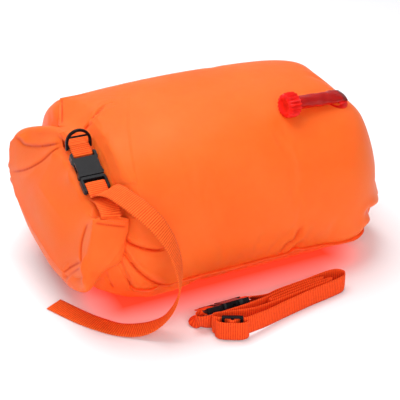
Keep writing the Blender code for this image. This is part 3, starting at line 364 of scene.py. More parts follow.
ROLL_CREASES = (
    (((-0.224, 0.108, 0.14), (-0.2117, 0.0864, 0.1516), (-0.201, 0.076, 0.1545), (-0.194, 0.064, 0.156),
     (-0.187, 0.045, 0.166)), 0.005, 0.0065),
    (((-0.226, 0.125, 0.09), (-0.2304, 0.1054, 0.1049), (-0.224, 0.07, 0.122), (-0.2193, 0.0442, 0.1384),
     (-0.2032, 0.0282, 0.1569)), 0.0045, 0.0055),
    (((-0.2264, -0.0942, 0.0572), (-0.2223, -0.1075, 0.0742), (-0.2125, -0.1177, 0.089),
     (-0.2086, -0.115, 0.0962)), 0.004, 0.006),
    (((-0.1937, -0.0996, 0.1285), (-0.2048, -0.1008, 0.118), (-0.208, -0.1079, 0.1061),
     (-0.2125, -0.1177, 0.089), (-0.2173, -0.1443, 0.0851)), 0.0035, 0.004),
)


def colour_setting(name, description, colour):
    return bpy.props.FloatVectorProperty(
        name=name, description=description, subtype="COLOR", size=3, default=colour, min=0.0, max=1.0,
    )


def length_setting(name, description, length, least=0.0):
    return bpy.props.FloatProperty(
        name=name, description=description, unit="LENGTH", default=length, min=least,
    )


class SwimBuoySettings(bpy.types.PropertyGroup):
    """Colours and fine sizes of the finish."""

    cloth_colour: colour_setting("Cloth", "Colour of the coated cloth", (1.0, 0.142, 0.020))
    webbing_colour: colour_setting("Webbing", "Colour of the strap and the belt", (1.0, 0.115, 0.010))
    plastic_colour: colour_setting("Buckles", "Colour of the buckles, ring and slider", (0.004, 0.004, 0.005))
    vinyl_colour: colour_setting("Valve", "Colour of the valve's soft vinyl", (0.86, 0.012, 0.008))
    floor_colour: colour_setting("Floor", "Colour of the plain floor", (0.95, 0.945, 0.96))
    air_pressure: bpy.props.FloatProperty(
        name="Air pressure", description="Pressure that swells the cloth", default=4.0, min=0.0,
    )
    swell_limit: length_setting("Swell limit", "Farthest that the air may push a point of the cloth", 0.003)
    rib_pitch: length_setting("Rib pitch", "Distance from one rib of the webbing to the next", 0.0028, 0.0005)
    rib_depth: length_setting("Rib depth", "Height of the webbing's ribs", 0.00034)
    stitch_pitch: length_setting("Stitch pitch", "Distance from one stitch to the next", 0.0030, 0.001)
    stitch_length: length_setting("Stitch length", "Length of one stitch", 0.0022, 0.0005)
    stitch_radius: length_setting("Stitch radius", "Half the thickness of the thread", 0.00025, 0.0001)


# Node trees of the materials

def add_node(tree, kind, inputs=(), **settings):
    """A new node with its settings. An input is linked where a socket is given, and set where a value is."""
    node = tree.nodes.new(kind)
    for key, value in settings.items():
        setattr(node, key, value)
    for key, value in dict(inputs).items():
        if isinstance(value, bpy.types.NodeSocket):
            tree.links.new(value, node.inputs[key])
        else:
            node.inputs[key].default_value = value
    return node


def math_node(tree, operation, *values):
    return add_node(tree, "ShaderNodeMath", enumerate(values), operation=operation).outputs[0]


def new_finish(name, roughness, **sockets):
    """A material with its shader's plain values. Each socket is named with underscores for its spaces."""
    material = bpy.data.materials.new(name)
    material.use_nodes = True
    shader = material.node_tree.nodes["Principled BSDF"]
    shader.inputs["Roughness"].default_value = roughness
    for key, value in sockets.items():
        shader.inputs[key.replace("_", " ").title().replace("Ior", "IOR")].default_value = value
    return material.node_tree, shader


def noise(tree, scale, detail=4.0):
    place = add_node(tree, "ShaderNodeTexCoord").outputs["Object"]
    inputs = {"Scale": scale, "Detail": detail, "Roughness": 0.55, "Vector": place}
    return add_node(tree, "ShaderNodeTexNoise", inputs).outputs["Fac"]


def ramp(tree, value, low, high, low_place=0.35, high_place=0.65):
    node = add_node(tree, "ShaderNodeValToRGB", {"Fac": value})
    first, last = node.color_ramp.elements
    first.position, first.color = low_place, (*low, 1.0)
    last.position, last.color = high_place, (*high, 1.0)
    return node.outputs["Color"]


def mixed(tree, share, first, second, blend_type="MIX"):
    """A colour that goes from the first to the second one as the share rises."""
    inputs = {"Factor": share, "A": first, "B": second}
    return add_node(tree, "ShaderNodeMix", inputs, data_type="RGBA", blend_type=blend_type).outputs["Result"]


def attribute(tree, name):
    return add_node(tree, "ShaderNodeAttribute", attribute_name=name).outputs["Fac"]


def bump(tree, heights, shader):
    """Bumps one after the other: each a height, its strength and its depth in metres."""
    before = {}
    for height, strength, distance in heights:
        inputs = {"Strength": strength, "Distance": distance, "Height": height, **before}
        before = {"Normal": add_node(tree, "ShaderNodeBump", inputs).outputs["Normal"]}
    tree.links.new(before["Normal"], shader.inputs["Normal"])


def tone(colour, scale):
    return tuple(min(c * s, 1.0) for c, s in zip(colour, scale))


def waves(tree, axis, pitch):
    """Sine waves over the piece's own flat measures."""
    place = add_node(tree, "ShaderNodeUVMap").outputs["UV"]
    parts = add_node(tree, "ShaderNodeSeparateXYZ", {"Vector": place}).outputs
    return math_node(tree, "SINE", math_node(tree, "MULTIPLY", parts[axis], math.tau / pitch))


def weave(tree, pitch):
    return math_node(tree, "MULTIPLY", waves(tree, "X", pitch), waves(tree, "Y", pitch))


def uneven_gloss(tree, shader, scale, spread, least):
    """Roughness that varies over the piece."""
    rough = math_node(tree, "ADD", math_node(tree, "MULTIPLY", noise(tree, scale), spread), least)
    tree.links.new(rough, shader.inputs["Roughness"])


def coated_cloth(colour):
    """Woven nylon under a thin satin coating, with painted shade that deepens its colour along the creases and
    folds.
    """
    tree, shader = new_finish(
        "coated_cloth", 0.46, Specular_Ior_Level=0.15, Specular_Tint=(1.0, 0.55, 0.40, 1.0),
        Subsurface_Weight=0.35, Subsurface_Scale=0.003, Subsurface_Radius=(1.0, 0.12, 0.03),
    )
    low, high = tone(colour, (1.0, 0.92, 0.85)), tone(colour, (1.0, 1.08, 1.3))
    colours = ramp(tree, noise(tree, 9.0, 5.0), low, high)
    # Painted shade: the colour deepens to a dark red along the creases and folds, where shade falls
    folds = math_node(tree, "MULTIPLY", attribute(tree, "painted_crease_shade"), 0.90)
    painted_crease_colour = mixed(tree, folds, colours, (*tone(colour, (0.75, 0.24, 0.20)), 1.0))
    tree.links.new(painted_crease_colour, shader.inputs["Base Color"])
    uneven_gloss(tree, shader, 40.0, 0.16, 0.36)
    bump(tree, (
        (noise(tree, 26.0, 3.0), 0.25, 0.0022),
        (noise(tree, 110.0, 3.0), 0.12, 0.0006),
        (weave(tree, 0.0011), 0.10, 0.00012),
    ), shader)


def pressed_weld(colour):
    """The same cloth where heat has pressed both plies together, smoother and darker."""
    tree, shader = new_finish("pressed_weld", 0.34, Specular_Ior_Level=0.5)
    low, high = tone(colour, (0.92, 0.68, 0.6)), tone(colour, (0.98, 0.9, 0.9))
    tree.links.new(ramp(tree, noise(tree, 60.0), low, high), shader.inputs["Base Color"])
    bump(tree, ((weave(tree, 0.0030), 0.35, 0.0003), (noise(tree, 140.0), 0.15, 0.0004)), shader)


def woven_webbing(name, colour):
    """Ribbed polyester webbing: each rib painted lighter on its crown and darker between the ribs, as painted
    highlight and shade, with fine threads along it.
    """
    tree, shader = new_finish(name, 0.72, Specular_Ior_Level=0.15, Sheen_Weight=0.03, Sheen_Roughness=0.4)
    low, high = tone(colour, (0.80, 0.52, 0.5)), tone(colour, (1.05, 1.45, 2.2))
    # Painted highlight on each rib's crown, painted shade in the grooves between the ribs
    painted_rib_light = ramp(tree, attribute(tree, "rib_crown_painted_light"), low, high, 0.1, 0.8)
    fibres = ramp(tree, noise(tree, 300.0), (0.75, 0.7, 0.7), (1.0, 1.0, 1.0))
    tree.links.new(mixed(tree, 0.5, painted_rib_light, fibres, "MULTIPLY"), shader.inputs["Base Color"])
    bump(tree, ((waves(tree, "X", 0.0009), 0.30, 0.00012), (noise(tree, 900.0), 0.25, 0.00015)), shader)


def moulded_plastic(colour):
    """Black moulded acetal: a fine spark-eroded grain, paler on its worn edges."""
    tree, shader = new_finish("moulded_plastic", 0.28, Specular_Ior_Level=0.12)
    worn = add_node(tree, "ShaderNodeNewGeometry").outputs["Pointiness"]
    colours = ramp(tree, worn, colour, tone(colour, (3.0, 3.0, 3.0)), 0.53, 0.62)
    tree.links.new(colours, shader.inputs["Base Color"])
    uneven_gloss(tree, shader, 220.0, 0.2, 0.18)
    bump(tree, ((noise(tree, 1800.0, 2.0), 0.12, 0.0001), (noise(tree, 90.0), 0.06, 0.0004)), shader)


def soft_vinyl(colour):
    """Soft red vinyl that lets light through, with the small puckers of a moulding that has been folded, and
    painted shade on the upper side of its folded tube.
    """
    tree, shader = new_finish(
        "soft_vinyl", 0.26, Specular_Ior_Level=0.25, Ior=1.45, Subsurface_Weight=0.55, Subsurface_Scale=0.004,
        Subsurface_Radius=(1.0, 0.08, 0.06),
    )
    low, high = tone(colour, (0.75, 0.5, 0.5)), tone(colour, (1.15, 1.5, 1.5))
    colours = ramp(tree, noise(tree, 70.0), low, high, 0.3, 0.7)
    # Painted shade: the colour darkens to a deep red where the tube is marked as shaded
    painted_shade_colour = mixed(tree, attribute(tree, "painted_vinyl_shade"), colours, (*tone(colour, (0.20, 0.15, 0.2)), 1.0))
    tree.links.new(painted_shade_colour, shader.inputs["Base Color"])
    bump(tree, ((noise(tree, 160.0, 4.0), 0.45, 0.0010), (noise(tree, 600.0), 0.15, 0.0003)), shader)


def sewing_thread(colour):
    tree, shader = new_finish("sewing_thread", 0.6, Sheen_Weight=0.3)
    twist = ramp(tree, noise(tree, 1500.0), tone(colour, (0.8, 0.7, 0.7)), tone(colour, (1.0, 1.2, 1.4)))
    tree.links.new(twist, shader.inputs["Base Color"])


def pale_strip():
    """The flat stiffening strip in the mouth's hem."""
    tree, shader = new_finish("pale_strip", 0.5)
    colours = ramp(tree, noise(tree, 50.0), (0.62, 0.62, 0.6), (0.74, 0.74, 0.71))
    tree.links.new(colours, shader.inputs["Base Color"])
    bump(tree, ((noise(tree, 400.0), 0.1, 0.0002),), shader)


def material_named(name):
    material = bpy.data.materials.get(name)
    if material is None:
        raise RuntimeError("the finishes come before the pieces: " + name)
    return material


# Meshes

def mesh_object(name, mesh, material):
    obj = bpy.data.objects.new(name, mesh)
    mesh.materials.append(material_named(material))
    bpy.context.scene.collection.objects.link(obj)
    return obj


def grid_mesh(name, rows, ring, material, flip=False):
    """Quads through rows of points, with its flat measures in metres as the UV map."""
    grid = np.asarray(rows, float)
    count, across = grid.shape[:2]
    closed = np.concatenate([grid, grid[:, :1]], axis=1) if ring else grid
    wide = np.concatenate([[0.0], np.linalg.norm(np.diff(closed, axis=1), axis=2).mean(0).cumsum()])
    long = np.concatenate([[0.0], np.linalg.norm(np.diff(grid, axis=0), axis=2).mean(1).cumsum()])
    faces, corners = [], []
    for r in range(count - 1):
        for c in range(across if ring else across - 1):
            d = (c + 1) % across
            order = ((r, c, c), (r, d, c + 1), (r + 1, d, c + 1), (r + 1, c, c))
            order = order[::-1] if flip else order
            faces.append([row * across + column for row, column, _ in order])
            corners += [(wide[place], long[row]) for row, _, place in order]
    mesh = bpy.data.meshes.new(name)
    mesh.from_pydata(grid.reshape(-1, 3).tolist(), [], faces)
    mesh.uv_layers.new(name="flat").data.foreach_set("uv", np.asarray(corners, float).ravel())
    mesh.shade_smooth()
    return mesh_object(name, mesh, material)


def vectors_of(items, key):
    flat = np.empty(len(items) * 3)
    items.foreach_get(key, flat)
    return flat.reshape(-1, 3)


def places_of(obj):
    return vectors_of(obj.data.vertices, "co")


def set_places(obj, places):
    obj.data.vertices.foreach_set("co", np.ascontiguousarray(places).ravel())
    obj.data.update()


def set_attribute(obj, name, values):
    layer = obj.data.attributes.new(name, "FLOAT", "POINT")
    layer.data.foreach_set("value", np.asarray(values, np.float32).ravel())


def edit_mesh(obj, change):
    work = bmesh.new()
    work.from_mesh(obj.data)
    change(work)
    work.to_mesh(obj.data)
    work.free()


def face_outward(work):
    bmesh.ops.recalc_face_normals(work, faces=work.faces)


def close_ends(obj):
    """Caps the open ends of a piece."""
    def change(work):
        bmesh.ops.holes_fill(work, edges=[edge for edge in work.edges if edge.is_boundary], sides=0)
        face_outward(work)

    edit_mesh(obj, change)
    obj.data.shade_smooth()


def bake(obj):
    """The evaluated shape as a plain mesh, with the modifiers removed."""
    graph = bpy.context.evaluated_depsgraph_get()
    graph.update()
    mesh = bpy.data.meshes.new_from_object(
        obj.evaluated_get(graph), preserve_all_data_layers=True, depsgraph=graph
    )
    obj.modifiers.clear()
    old, obj.data = obj.data, mesh
    bpy.data.meshes.remove(old)
    return obj


def ply(obj, thickness, offset=-1.0):
    solidify = obj.modifiers.new("Ply", "SOLIDIFY")
    solidify.thickness = thickness
    solidify.offset = offset
    solidify.use_even_offset = False


def subdivide(obj):
    modifier = obj.modifiers.new("Smooth", "SUBSURF")
    modifier.levels = modifier.render_levels = 1


def nearest_points(obj, line):
    """Which of the piece's points lies nearest to each place of a line."""
    tree = KDTree(len(obj.data.vertices))
    for i, vertex in enumerate(obj.data.vertices):
        tree.insert(vertex.co, i)
    tree.balance()
    return [tree.find(place)[1] for place in line]


# Lines

def spline(points, steps):
    """A smooth line through the points."""
    found = []
    for i in range(len(points) - 1):
        before, start = points[max(i - 1, 0)], points[i]
        end, after = points[i + 1], points[min(i + 2, len(points) - 1)]
        for k in range(steps):
            t = k / steps
            found.append(0.5 * (
                2 * start + (end - before) * t + (2 * before - 5 * start + 4 * end - after) * t**2
                + (3 * start - before - 3 * end + after) * t**3
            ))
    found.append(points[-1])
    return found


def curve(points, steps):
    """A smooth line through plain points, as an array."""
    return np.array([list(place) for place in spline([Vector(point) for point in points], steps)])


def run_along(points):
    """How far along its line each point lies."""
    return np.concatenate([[0.0], np.linalg.norm(np.diff(points, axis=0), axis=1).cumsum()])


def resampled(points, run, wanted):
    """Points at the wanted distances along a line."""
    return np.stack([np.interp(wanted, run, points[:, k]) for k in range(3)], 1)


def beside(line, places):
    """How far each place lies from a line, how far along it, and on which side in its first two measures."""
    near, along, side = np.full(len(places), 1e9), np.zeros(len(places)), np.zeros(len(places))
    for i in range(len(line) - 1):
        step, away = line[i + 1] - line[i], places - line[i]
        share = np.clip((away @ step) / (step @ step), 0.0, 1.0)
        apart = np.linalg.norm(away - share[:, None] * step, axis=1)
        closer = apart < near
        near[closer] = apart[closer]
        along[closer] = (i + share[closer]) / (len(line) - 1)
        side[closer] = np.sign(step[0] * away[closer, 1] - step[1] * away[closer, 0])
    return near, along, side


def press_creases(obj, creases, limit=None):
    """Presses each crease into the cloth along its normals and raises the cloth beside it. Stores the painted
    crease shade that darkens the cloth's colour along each crease.
    """
    places, normals = places_of(obj), vectors_of(obj.data.vertex_normals, "vector")
    moved, painted_crease_shade = np.zeros(len(places)), np.zeros(len(places))
    for points, width, depth in creases:
        near, along, _ = beside(curve(points, 8), places)
        fade = np.sqrt(np.clip(np.sin(np.pi * np.clip(along * 0.94 + 0.03, 0, 1)), 0, 1))
        across = near / width
        moved += depth * fade * (0.42 * np.exp(-((across - 2.1) ** 2) / 1.3) - np.exp(-(across**2)))
        # Painted shade: how much the cloth's colour darkens along each crease
        painted_crease_shade = np.maximum(painted_crease_shade, fade * np.exp(-((across / 0.55) ** 2)))
    if limit is not None:
        moved *= limit(places)
        painted_crease_shade *= limit(places)
    set_attribute(obj, "painted_crease_shade", painted_crease_shade)
    set_places(obj, places + normals * moved[:, None])


# Frames

def joint(name):
    """Where a joint is, for one that turns, and which way it moves."""
    for item in frame["joints"]:
        if item["name"] == name:
            return Vector(item.get("pos_m", (0, 0, 0))), Vector(item["axis"]).normalized()
    raise RuntimeError("no joint named " + name)


def frame_at(location, along, outward):
    x = along.normalized()
    y = outward.cross(x).normalized()
    matrix = Matrix((x, y, x.cross(y))).transposed().to_4x4()
    matrix.translation = location
    return matrix


def closure_frame():
    along = joint("closure_release")[1]
    outward = Vector((1.0, 0.0, 0.0)).cross(along)
    return frame_at(Vector(CLOSURE_PLACE), along, outward if outward.z > 0 else -outward)


def belt_frame():
    lean = math.radians(BELT_BUCKLE_LEAN)
    return frame_at(
        Vector(BELT_BUCKLE_PLACE), joint("belt_release")[1], Vector((0.0, math.sin(lean), math.cos(lean)))
    )


def camera_place():
    """The camera's right, up and back, and where it stands."""
    turn, rise = math.radians(CAMERA_TURN), math.radians(CAMERA_RISE)
    back = Vector((math.sin(turn) * math.cos(rise), -math.cos(turn) * math.cos(rise), math.sin(rise)))
    right = Vector((math.cos(turn), math.sin(turn), 0.0))
    return right, back.cross(right), back, Vector(CAMERA_TARGET) + back * CAMERA_DISTANCE


def sight_line(u, v):
    """The direction from the camera through a place of its view."""
    right, up, back, _ = camera_place()
    half = VIEW_SIZE / 2
    return (right * ((u - half) / CAMERA_FOCUS) - up * ((v - half) / CAMERA_FOCUS) - back).normalized()


# The bag's cloth

def bent(values, exponent):
    return np.sign(values) * np.abs(values) ** exponent


def bag_profile():
    """Rows along the bag: place, shares over the top, near and far, width, height, and the middle's height."""
    table = np.array(COLLAR)[::-1]
    rows = [
        (x, *(np.interp(x, table[:, 0], table[:, k]) for k in (1, 2, 3)), 1.0, 1.0, WIDEST_HEIGHT)
        for x in np.linspace(table[0, 0], table[-1, 0], COLLAR_ROWS)[:-1]
    ]
    start = BASE_REACH - BASE_ROUND_LENGTH
    for x in np.linspace(SHOULDER_START, start, BODY_ROWS)[:-1]:
        rows.append((x, 1.0, 1.0, 1.0, 1.0, 1.0, WIDEST_HEIGHT))
    turn = np.linspace(0.0, math.pi / 2, 2000)
    reach, rise = np.sin(turn) ** (2 / BASE_POWER), np.cos(turn) ** (2 / BASE_POWER)
    rise[-1] = 0.0
    steps = np.hypot(np.diff(reach * BASE_ROUND_LENGTH), np.diff(rise * BASE_HALF_HEIGHT))
    run = np.concatenate([[0.0], steps.cumsum()])
    for place in np.linspace(0.0, run[-1], BASE_ROWS):
        share, high = np.interp(place, run, reach), np.interp(place, run, rise)
        wide = 1 - BASE_CORNER_SHARE * share**BASE_CORNER_POWER
        middle = WELD_HEIGHT + (WIDEST_HEIGHT - WELD_HEIGHT) * high
        rows.append((start + BASE_ROUND_LENGTH * share, 1.0, 1.0, 1.0, wide, high, middle))
    return rows


def bag_ring(row):
    """A ring of the bag from the near weld over the top to the far weld and back underneath."""
    x, top, near, far, wide, high, middle = row
    share = x / BASE_REACH
    half_width = BODY_HALF_WIDTH * (1 - WAIST_SHARE * share**2)
    height = BODY_HEIGHT * (1 - CROWN_SHARE * share**2) - WIDEST_HEIGHT
    depth = WIDEST_HEIGHT + FLAT_SAG
    weld = math.asin(((WIDEST_HEIGHT - WELD_HEIGHT) / depth) ** (BELLY_POWER / 2))
    arcs = []
    for start, end in ((-weld, math.pi + weld), (math.pi + weld, math.tau - weld)):
        angle = np.linspace(start, end, 700)
        side, up = np.cos(angle), np.sin(angle)
        over, nearer = up >= 0, side > 0
        y = -half_width * np.where(over, bent(side, 2 / DOME_POWER), bent(side, 2 / BELLY_POWER))
        z = np.where(over, height * bent(up, 2 / DOME_POWER), depth * bent(up, 2 / BELLY_POWER))
        mix = (np.abs(side) - np.where(nearer, 0.45, 0.16)) / np.where(nearer, 0.42, 0.30)
        mix = np.where(over, eased(mix, 0.0, 1.0), 1.0)
        scale = top + (np.where(nearer, near, far) - top) * mix
        z = np.maximum(middle + high * scale * z, LOWEST)
        points = np.stack([np.full_like(y, x), wide * scale * y, z], 1)
        if high == 0.0:
            points = np.linspace(points[0], points[-1], len(points))
        run = run_along(points)
        arcs.append(resampled(points, run, np.linspace(0.0, run[-1], ARC_STEPS + 1)[:-1]))
    return np.concatenate(arcs)


def eased(values, start, end):
    share = np.clip((values - start) / (end - start), 0.0, 1.0)
    return share * share * (3 - 2 * share)


def settle(places):
    """Leans the base outward at the floor, flattens its far upper corner and puckers the near corner's seam."""
    x, y, z = places.T
    low = LOW_LEAN * eased(-z, *LOW_LEAN_DEPTHS) * eased(-y, *NEAR_SIDE)
    moved = places.copy()
    moved[:, 0] += eased(x, *LEAN_PLACES) * (low - HIGH_LEAN * eased(z, *HIGH_LEAN_HEIGHTS))
    point, normal, softness = CORNER_FLAT
    apart = (moved - np.array(point)) @ np.array(normal)
    moved += np.outer(-softness * np.logaddexp(0.0, -apart / softness) - apart, normal)
    for centre, radius, move in SEAM_PUCKERS:
        weight = np.exp(-np.sum(((places - np.array(centre)) / np.array(radius)) ** 2, 1))
        moved += np.outer(weight, move)
    return moved


def beside_buckle(places):
    """Places in the closure buckle's own frame, with the turn and the origin of that frame."""
    base = closure_frame()
    turn, origin = np.array(base.to_3x3()), np.array(base.translation)
    return (places - origin) @ turn, turn, origin


def under_buckle(places):
    """0 where the closure buckle and its tab rest on the cloth, 1 away from them."""
    local = beside_buckle(places)[0]
    along = np.abs(local[:, 0] - BUCKLE_REST_MIDDLE) - BUCKLE_REST_REACH
    out = np.clip(np.maximum(along, np.abs(local[:, 1]) - BUCKLE_HALF_WIDTH) / BUCKLE_REST_FADE, 0.0, 1.0)
    return np.where(np.abs(local[:, 2]) > BUCKLE_NEAR, 1.0, out)


def keep_below_buckle(obj):
    """Presses a piece's cloth flat where the buckle lies on it, and where its plug slides to."""
    local, turn, origin = beside_buckle(places_of(obj))
    across, height = np.abs(local[:, 1:]).T
    under = (across < BUCKLE_HALF_WIDTH) & (height < BUCKLE_NEAR)
    under &= (local[:, 0] > BUCKLE_PRESS_FROM) & (local[:, 0] < BUCKLE_PRESS_TO)
    local[under, 2] = np.minimum(local[under, 2], -BUCKLE_GAP)
    set_places(obj, local @ turn.T + origin)


def inflate(obj, held, pressure, limit):
    """Blows the cloth up against its held seams, and lets no point move farther than the limit."""
    rest = places_of(obj)
    group = obj.vertex_groups.new(name="held")
    for i, weight in enumerate(held):
        if weight > 0.01:
            group.add([i], float(weight), "REPLACE")
    cloth = obj.modifiers.new("Air", "CLOTH")
    settings = cloth.settings
    settings.quality = 6
    settings.mass = 0.2
    settings.tension_stiffness = settings.compression_stiffness = 18.0
    settings.shear_stiffness = 6.0
    settings.bending_stiffness = 0.35
    settings.use_pressure = True
    settings.uniform_pressure_force = pressure
    settings.shrink_min = -0.022
    settings.vertex_group_mass = "held"
    settings.effector_weights.gravity = 0.0
    cloth.collision_settings.use_collision = False
    cloth.point_cache.frame_start, cloth.point_cache.frame_end = 1, AIR_FRAMES
    scene = bpy.context.scene
    for step in range(1, AIR_FRAMES + 1):
        scene.frame_set(step)
    graph = bpy.context.evaluated_depsgraph_get()
    moved = vectors_of(obj.evaluated_get(graph).data.vertices, "co") - rest
    obj.modifiers.remove(cloth)
    obj.vertex_groups.clear()
    scene.frame_set(1)
    length = np.linalg.norm(moved, axis=1)
    places = rest + moved * (limit * np.tanh(length / limit) / np.maximum(length, 1e-9))[:, None]
    places[:, 2] = np.maximum(places[:, 2], LOWEST)
    set_places(obj, places)


class SWIMBUOY_OT_finishes(bpy.types.Operator):
    """Make the materials of the bag, its webbing, its plastic and its valve"""

    bl_idname = "swimbuoy.finishes"
    bl_label = "Finishes"

    def execute(self, context):
        settings = context.scene.swim_buoy
        coated_cloth(tuple(settings.cloth_colour))
        pressed_weld(tuple(settings.cloth_colour))
        woven_webbing("woven_webbing", tuple(settings.webbing_colour))
        woven_webbing("belt_weave", tone(tuple(settings.webbing_colour), (0.97, 0.62, 0.5)))
        moulded_plastic(tuple(settings.plastic_colour))
        soft_vinyl(tuple(settings.vinyl_colour))
        sewing_thread(tuple(settings.webbing_colour))
        pale_strip()
        return {"FINISHED"}


class SWIMBUOY_OT_bag(bpy.types.Operator):
    """Make the inflated cloth and its welded rim"""

    bl_idname = "swimbuoy.bag"
    bl_label = "Inflated bag"

    def execute(self, context):
        settings = context.scene.swim_buoy
        rows = [settle(bag_ring(row)) for row in bag_profile()]
        bag = grid_mesh("bag_cloth", rows, True, "coated_cloth", flip=True)
        inflate(bag, self.held(places_of(bag)), settings.air_pressure, settings.swell_limit)
        seam = places_of(bag).reshape(len(rows), -1, 3)
        line = np.concatenate([seam[:, 0], seam[::-1, ARC_STEPS]])
        edit_mesh(bag, lambda work: bmesh.ops.remove_doubles(work, verts=work.verts, dist=0.00005))
        subdivide(bag)
        bake(bag)
        nearest = nearest_points(bag, line)
        press_creases(bag, BAG_CREASES, under_buckle)
        keep_below_buckle(bag)
        line = places_of(bag)[nearest]
        ply(bag, CLOTH_THICKNESS)
        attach(bag, "bag")
        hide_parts("front_outer_panel", "back_outer_panel", "neck")
        self.rim(line)
        return {"FINISHED"}

    def held(self, places):
        """How firmly each point is held by the welds, the floor, the collar, the base's end and the buckle."""
        column = np.arange(len(places)) % (2 * ARC_STEPS)
        return np.max([
            (column == 0) | (column == ARC_STEPS),
            np.clip((0.0012 - places[:, 2]) / 0.0008, 0.0, 1.0),
            np.clip((-places[:, 0] - 0.182) / 0.006, 0.0, 1.0),
            places[:, 0] > BASE_REACH - 0.0004,
            1.0 - under_buckle(places),
        ], axis=0)

    def rim(self, line):
        """The flat welded rim along the seam."""
        line = line[np.concatenate([[True], np.linalg.norm(np.diff(line, axis=0), axis=1) > 0.0003])]
        start = int(np.argmax(line[:, 0] > RIM_START))
        line = line[start:len(line) - start]
        run = run_along(line)
        wanted = np.linspace(0.0, run[-1], RIM_STEPS)
        line = resampled(line, run, wanted)
        rows = []
        for i, point in enumerate(line):
            along = line[min(i + 2, len(line) - 1)] - line[max(i - 2, 0)]
            outward = np.array([along[1], -along[0], 0.0])
            outward /= np.linalg.norm(outward)
            wave = 0.0004 * math.sin(wanted[i] * 210.0) + 0.0005 * math.sin(wanted[i] * 77.0)
            end = min(1.0, min(wanted[i], run[-1] - wanted[i]) / 0.006) ** 0.5
            row = []
            for reach, rise in RIM_SECTION:
                out = RIM_WIDTH * end * reach if reach > 0 else RIM_TUCK * reach
                lift = RIM_HALF_THICKNESS * rise + wave * max(reach, 0.0)
                row.append(point + outward * out + [0.0, 0.0, lift])
            rows.append(row)
        band = grid_mesh("welded_rim", rows, True, "pressed_weld")
        close_ends(band)
        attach(band, "bag")
        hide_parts("near_side_weld", "far_side_weld", "base_weld")


# Cloth drawn tight over what lies under it

def depths_over(solid, u, v):
    """How far from the camera the pieces underneath lie, with their ends carried on past their edges."""
    eye = camera_place()[3]
    far = np.full(u.shape, np.nan)
    for i in range(u.shape[0]):
        for k in range(u.shape[1]):
            place = solid.ray_cast(eye, sight_line(u[i, k], v[i, k]))[0]
            if place is not None:
                far[i, k] = (place - eye).length
        good = np.isfinite(far[i])
        if good.any():
            far[i] = np.interp(u[i], u[i][good], far[i][good])
    seen = np.flatnonzero(np.isfinite(far[:, 0]))
    return far[seen[np.abs(np.arange(len(far))[:, None] - seen).argmin(1)]]


def between_cells(grid, first_u, first_v, u, v):
    """A grid with one cell for each unit of the view, read at places between its cells."""
    column = np.clip(u - first_u, 0, grid.shape[1] - 1.001)
    row = np.clip(v - first_v, 0, grid.shape[0] - 1.001)
    i, k = row.astype(int), column.astype(int)
    row, column = row - i, column - k
    upper = grid[i, k] * (1 - column) + grid[i, k + 1] * column
    lower = grid[i + 1, k] * (1 - column) + grid[i + 1, k + 1] * column
    return upper * (1 - row) + lower * row


def drawn_tight(limit):
    """The smoothest sheet that stays on the camera's side of a limit."""
    depth = limit.copy()
    for _ in range(DRAWING_TURNS):
        around = depth.copy()
        around[1:-1, 1:-1] = (depth[2:, 1:-1] + depth[:-2, 1:-1] + depth[1:-1, 2:] + depth[1:-1, :-2]) / 4
        depth = np.minimum(limit, around)
    return depth


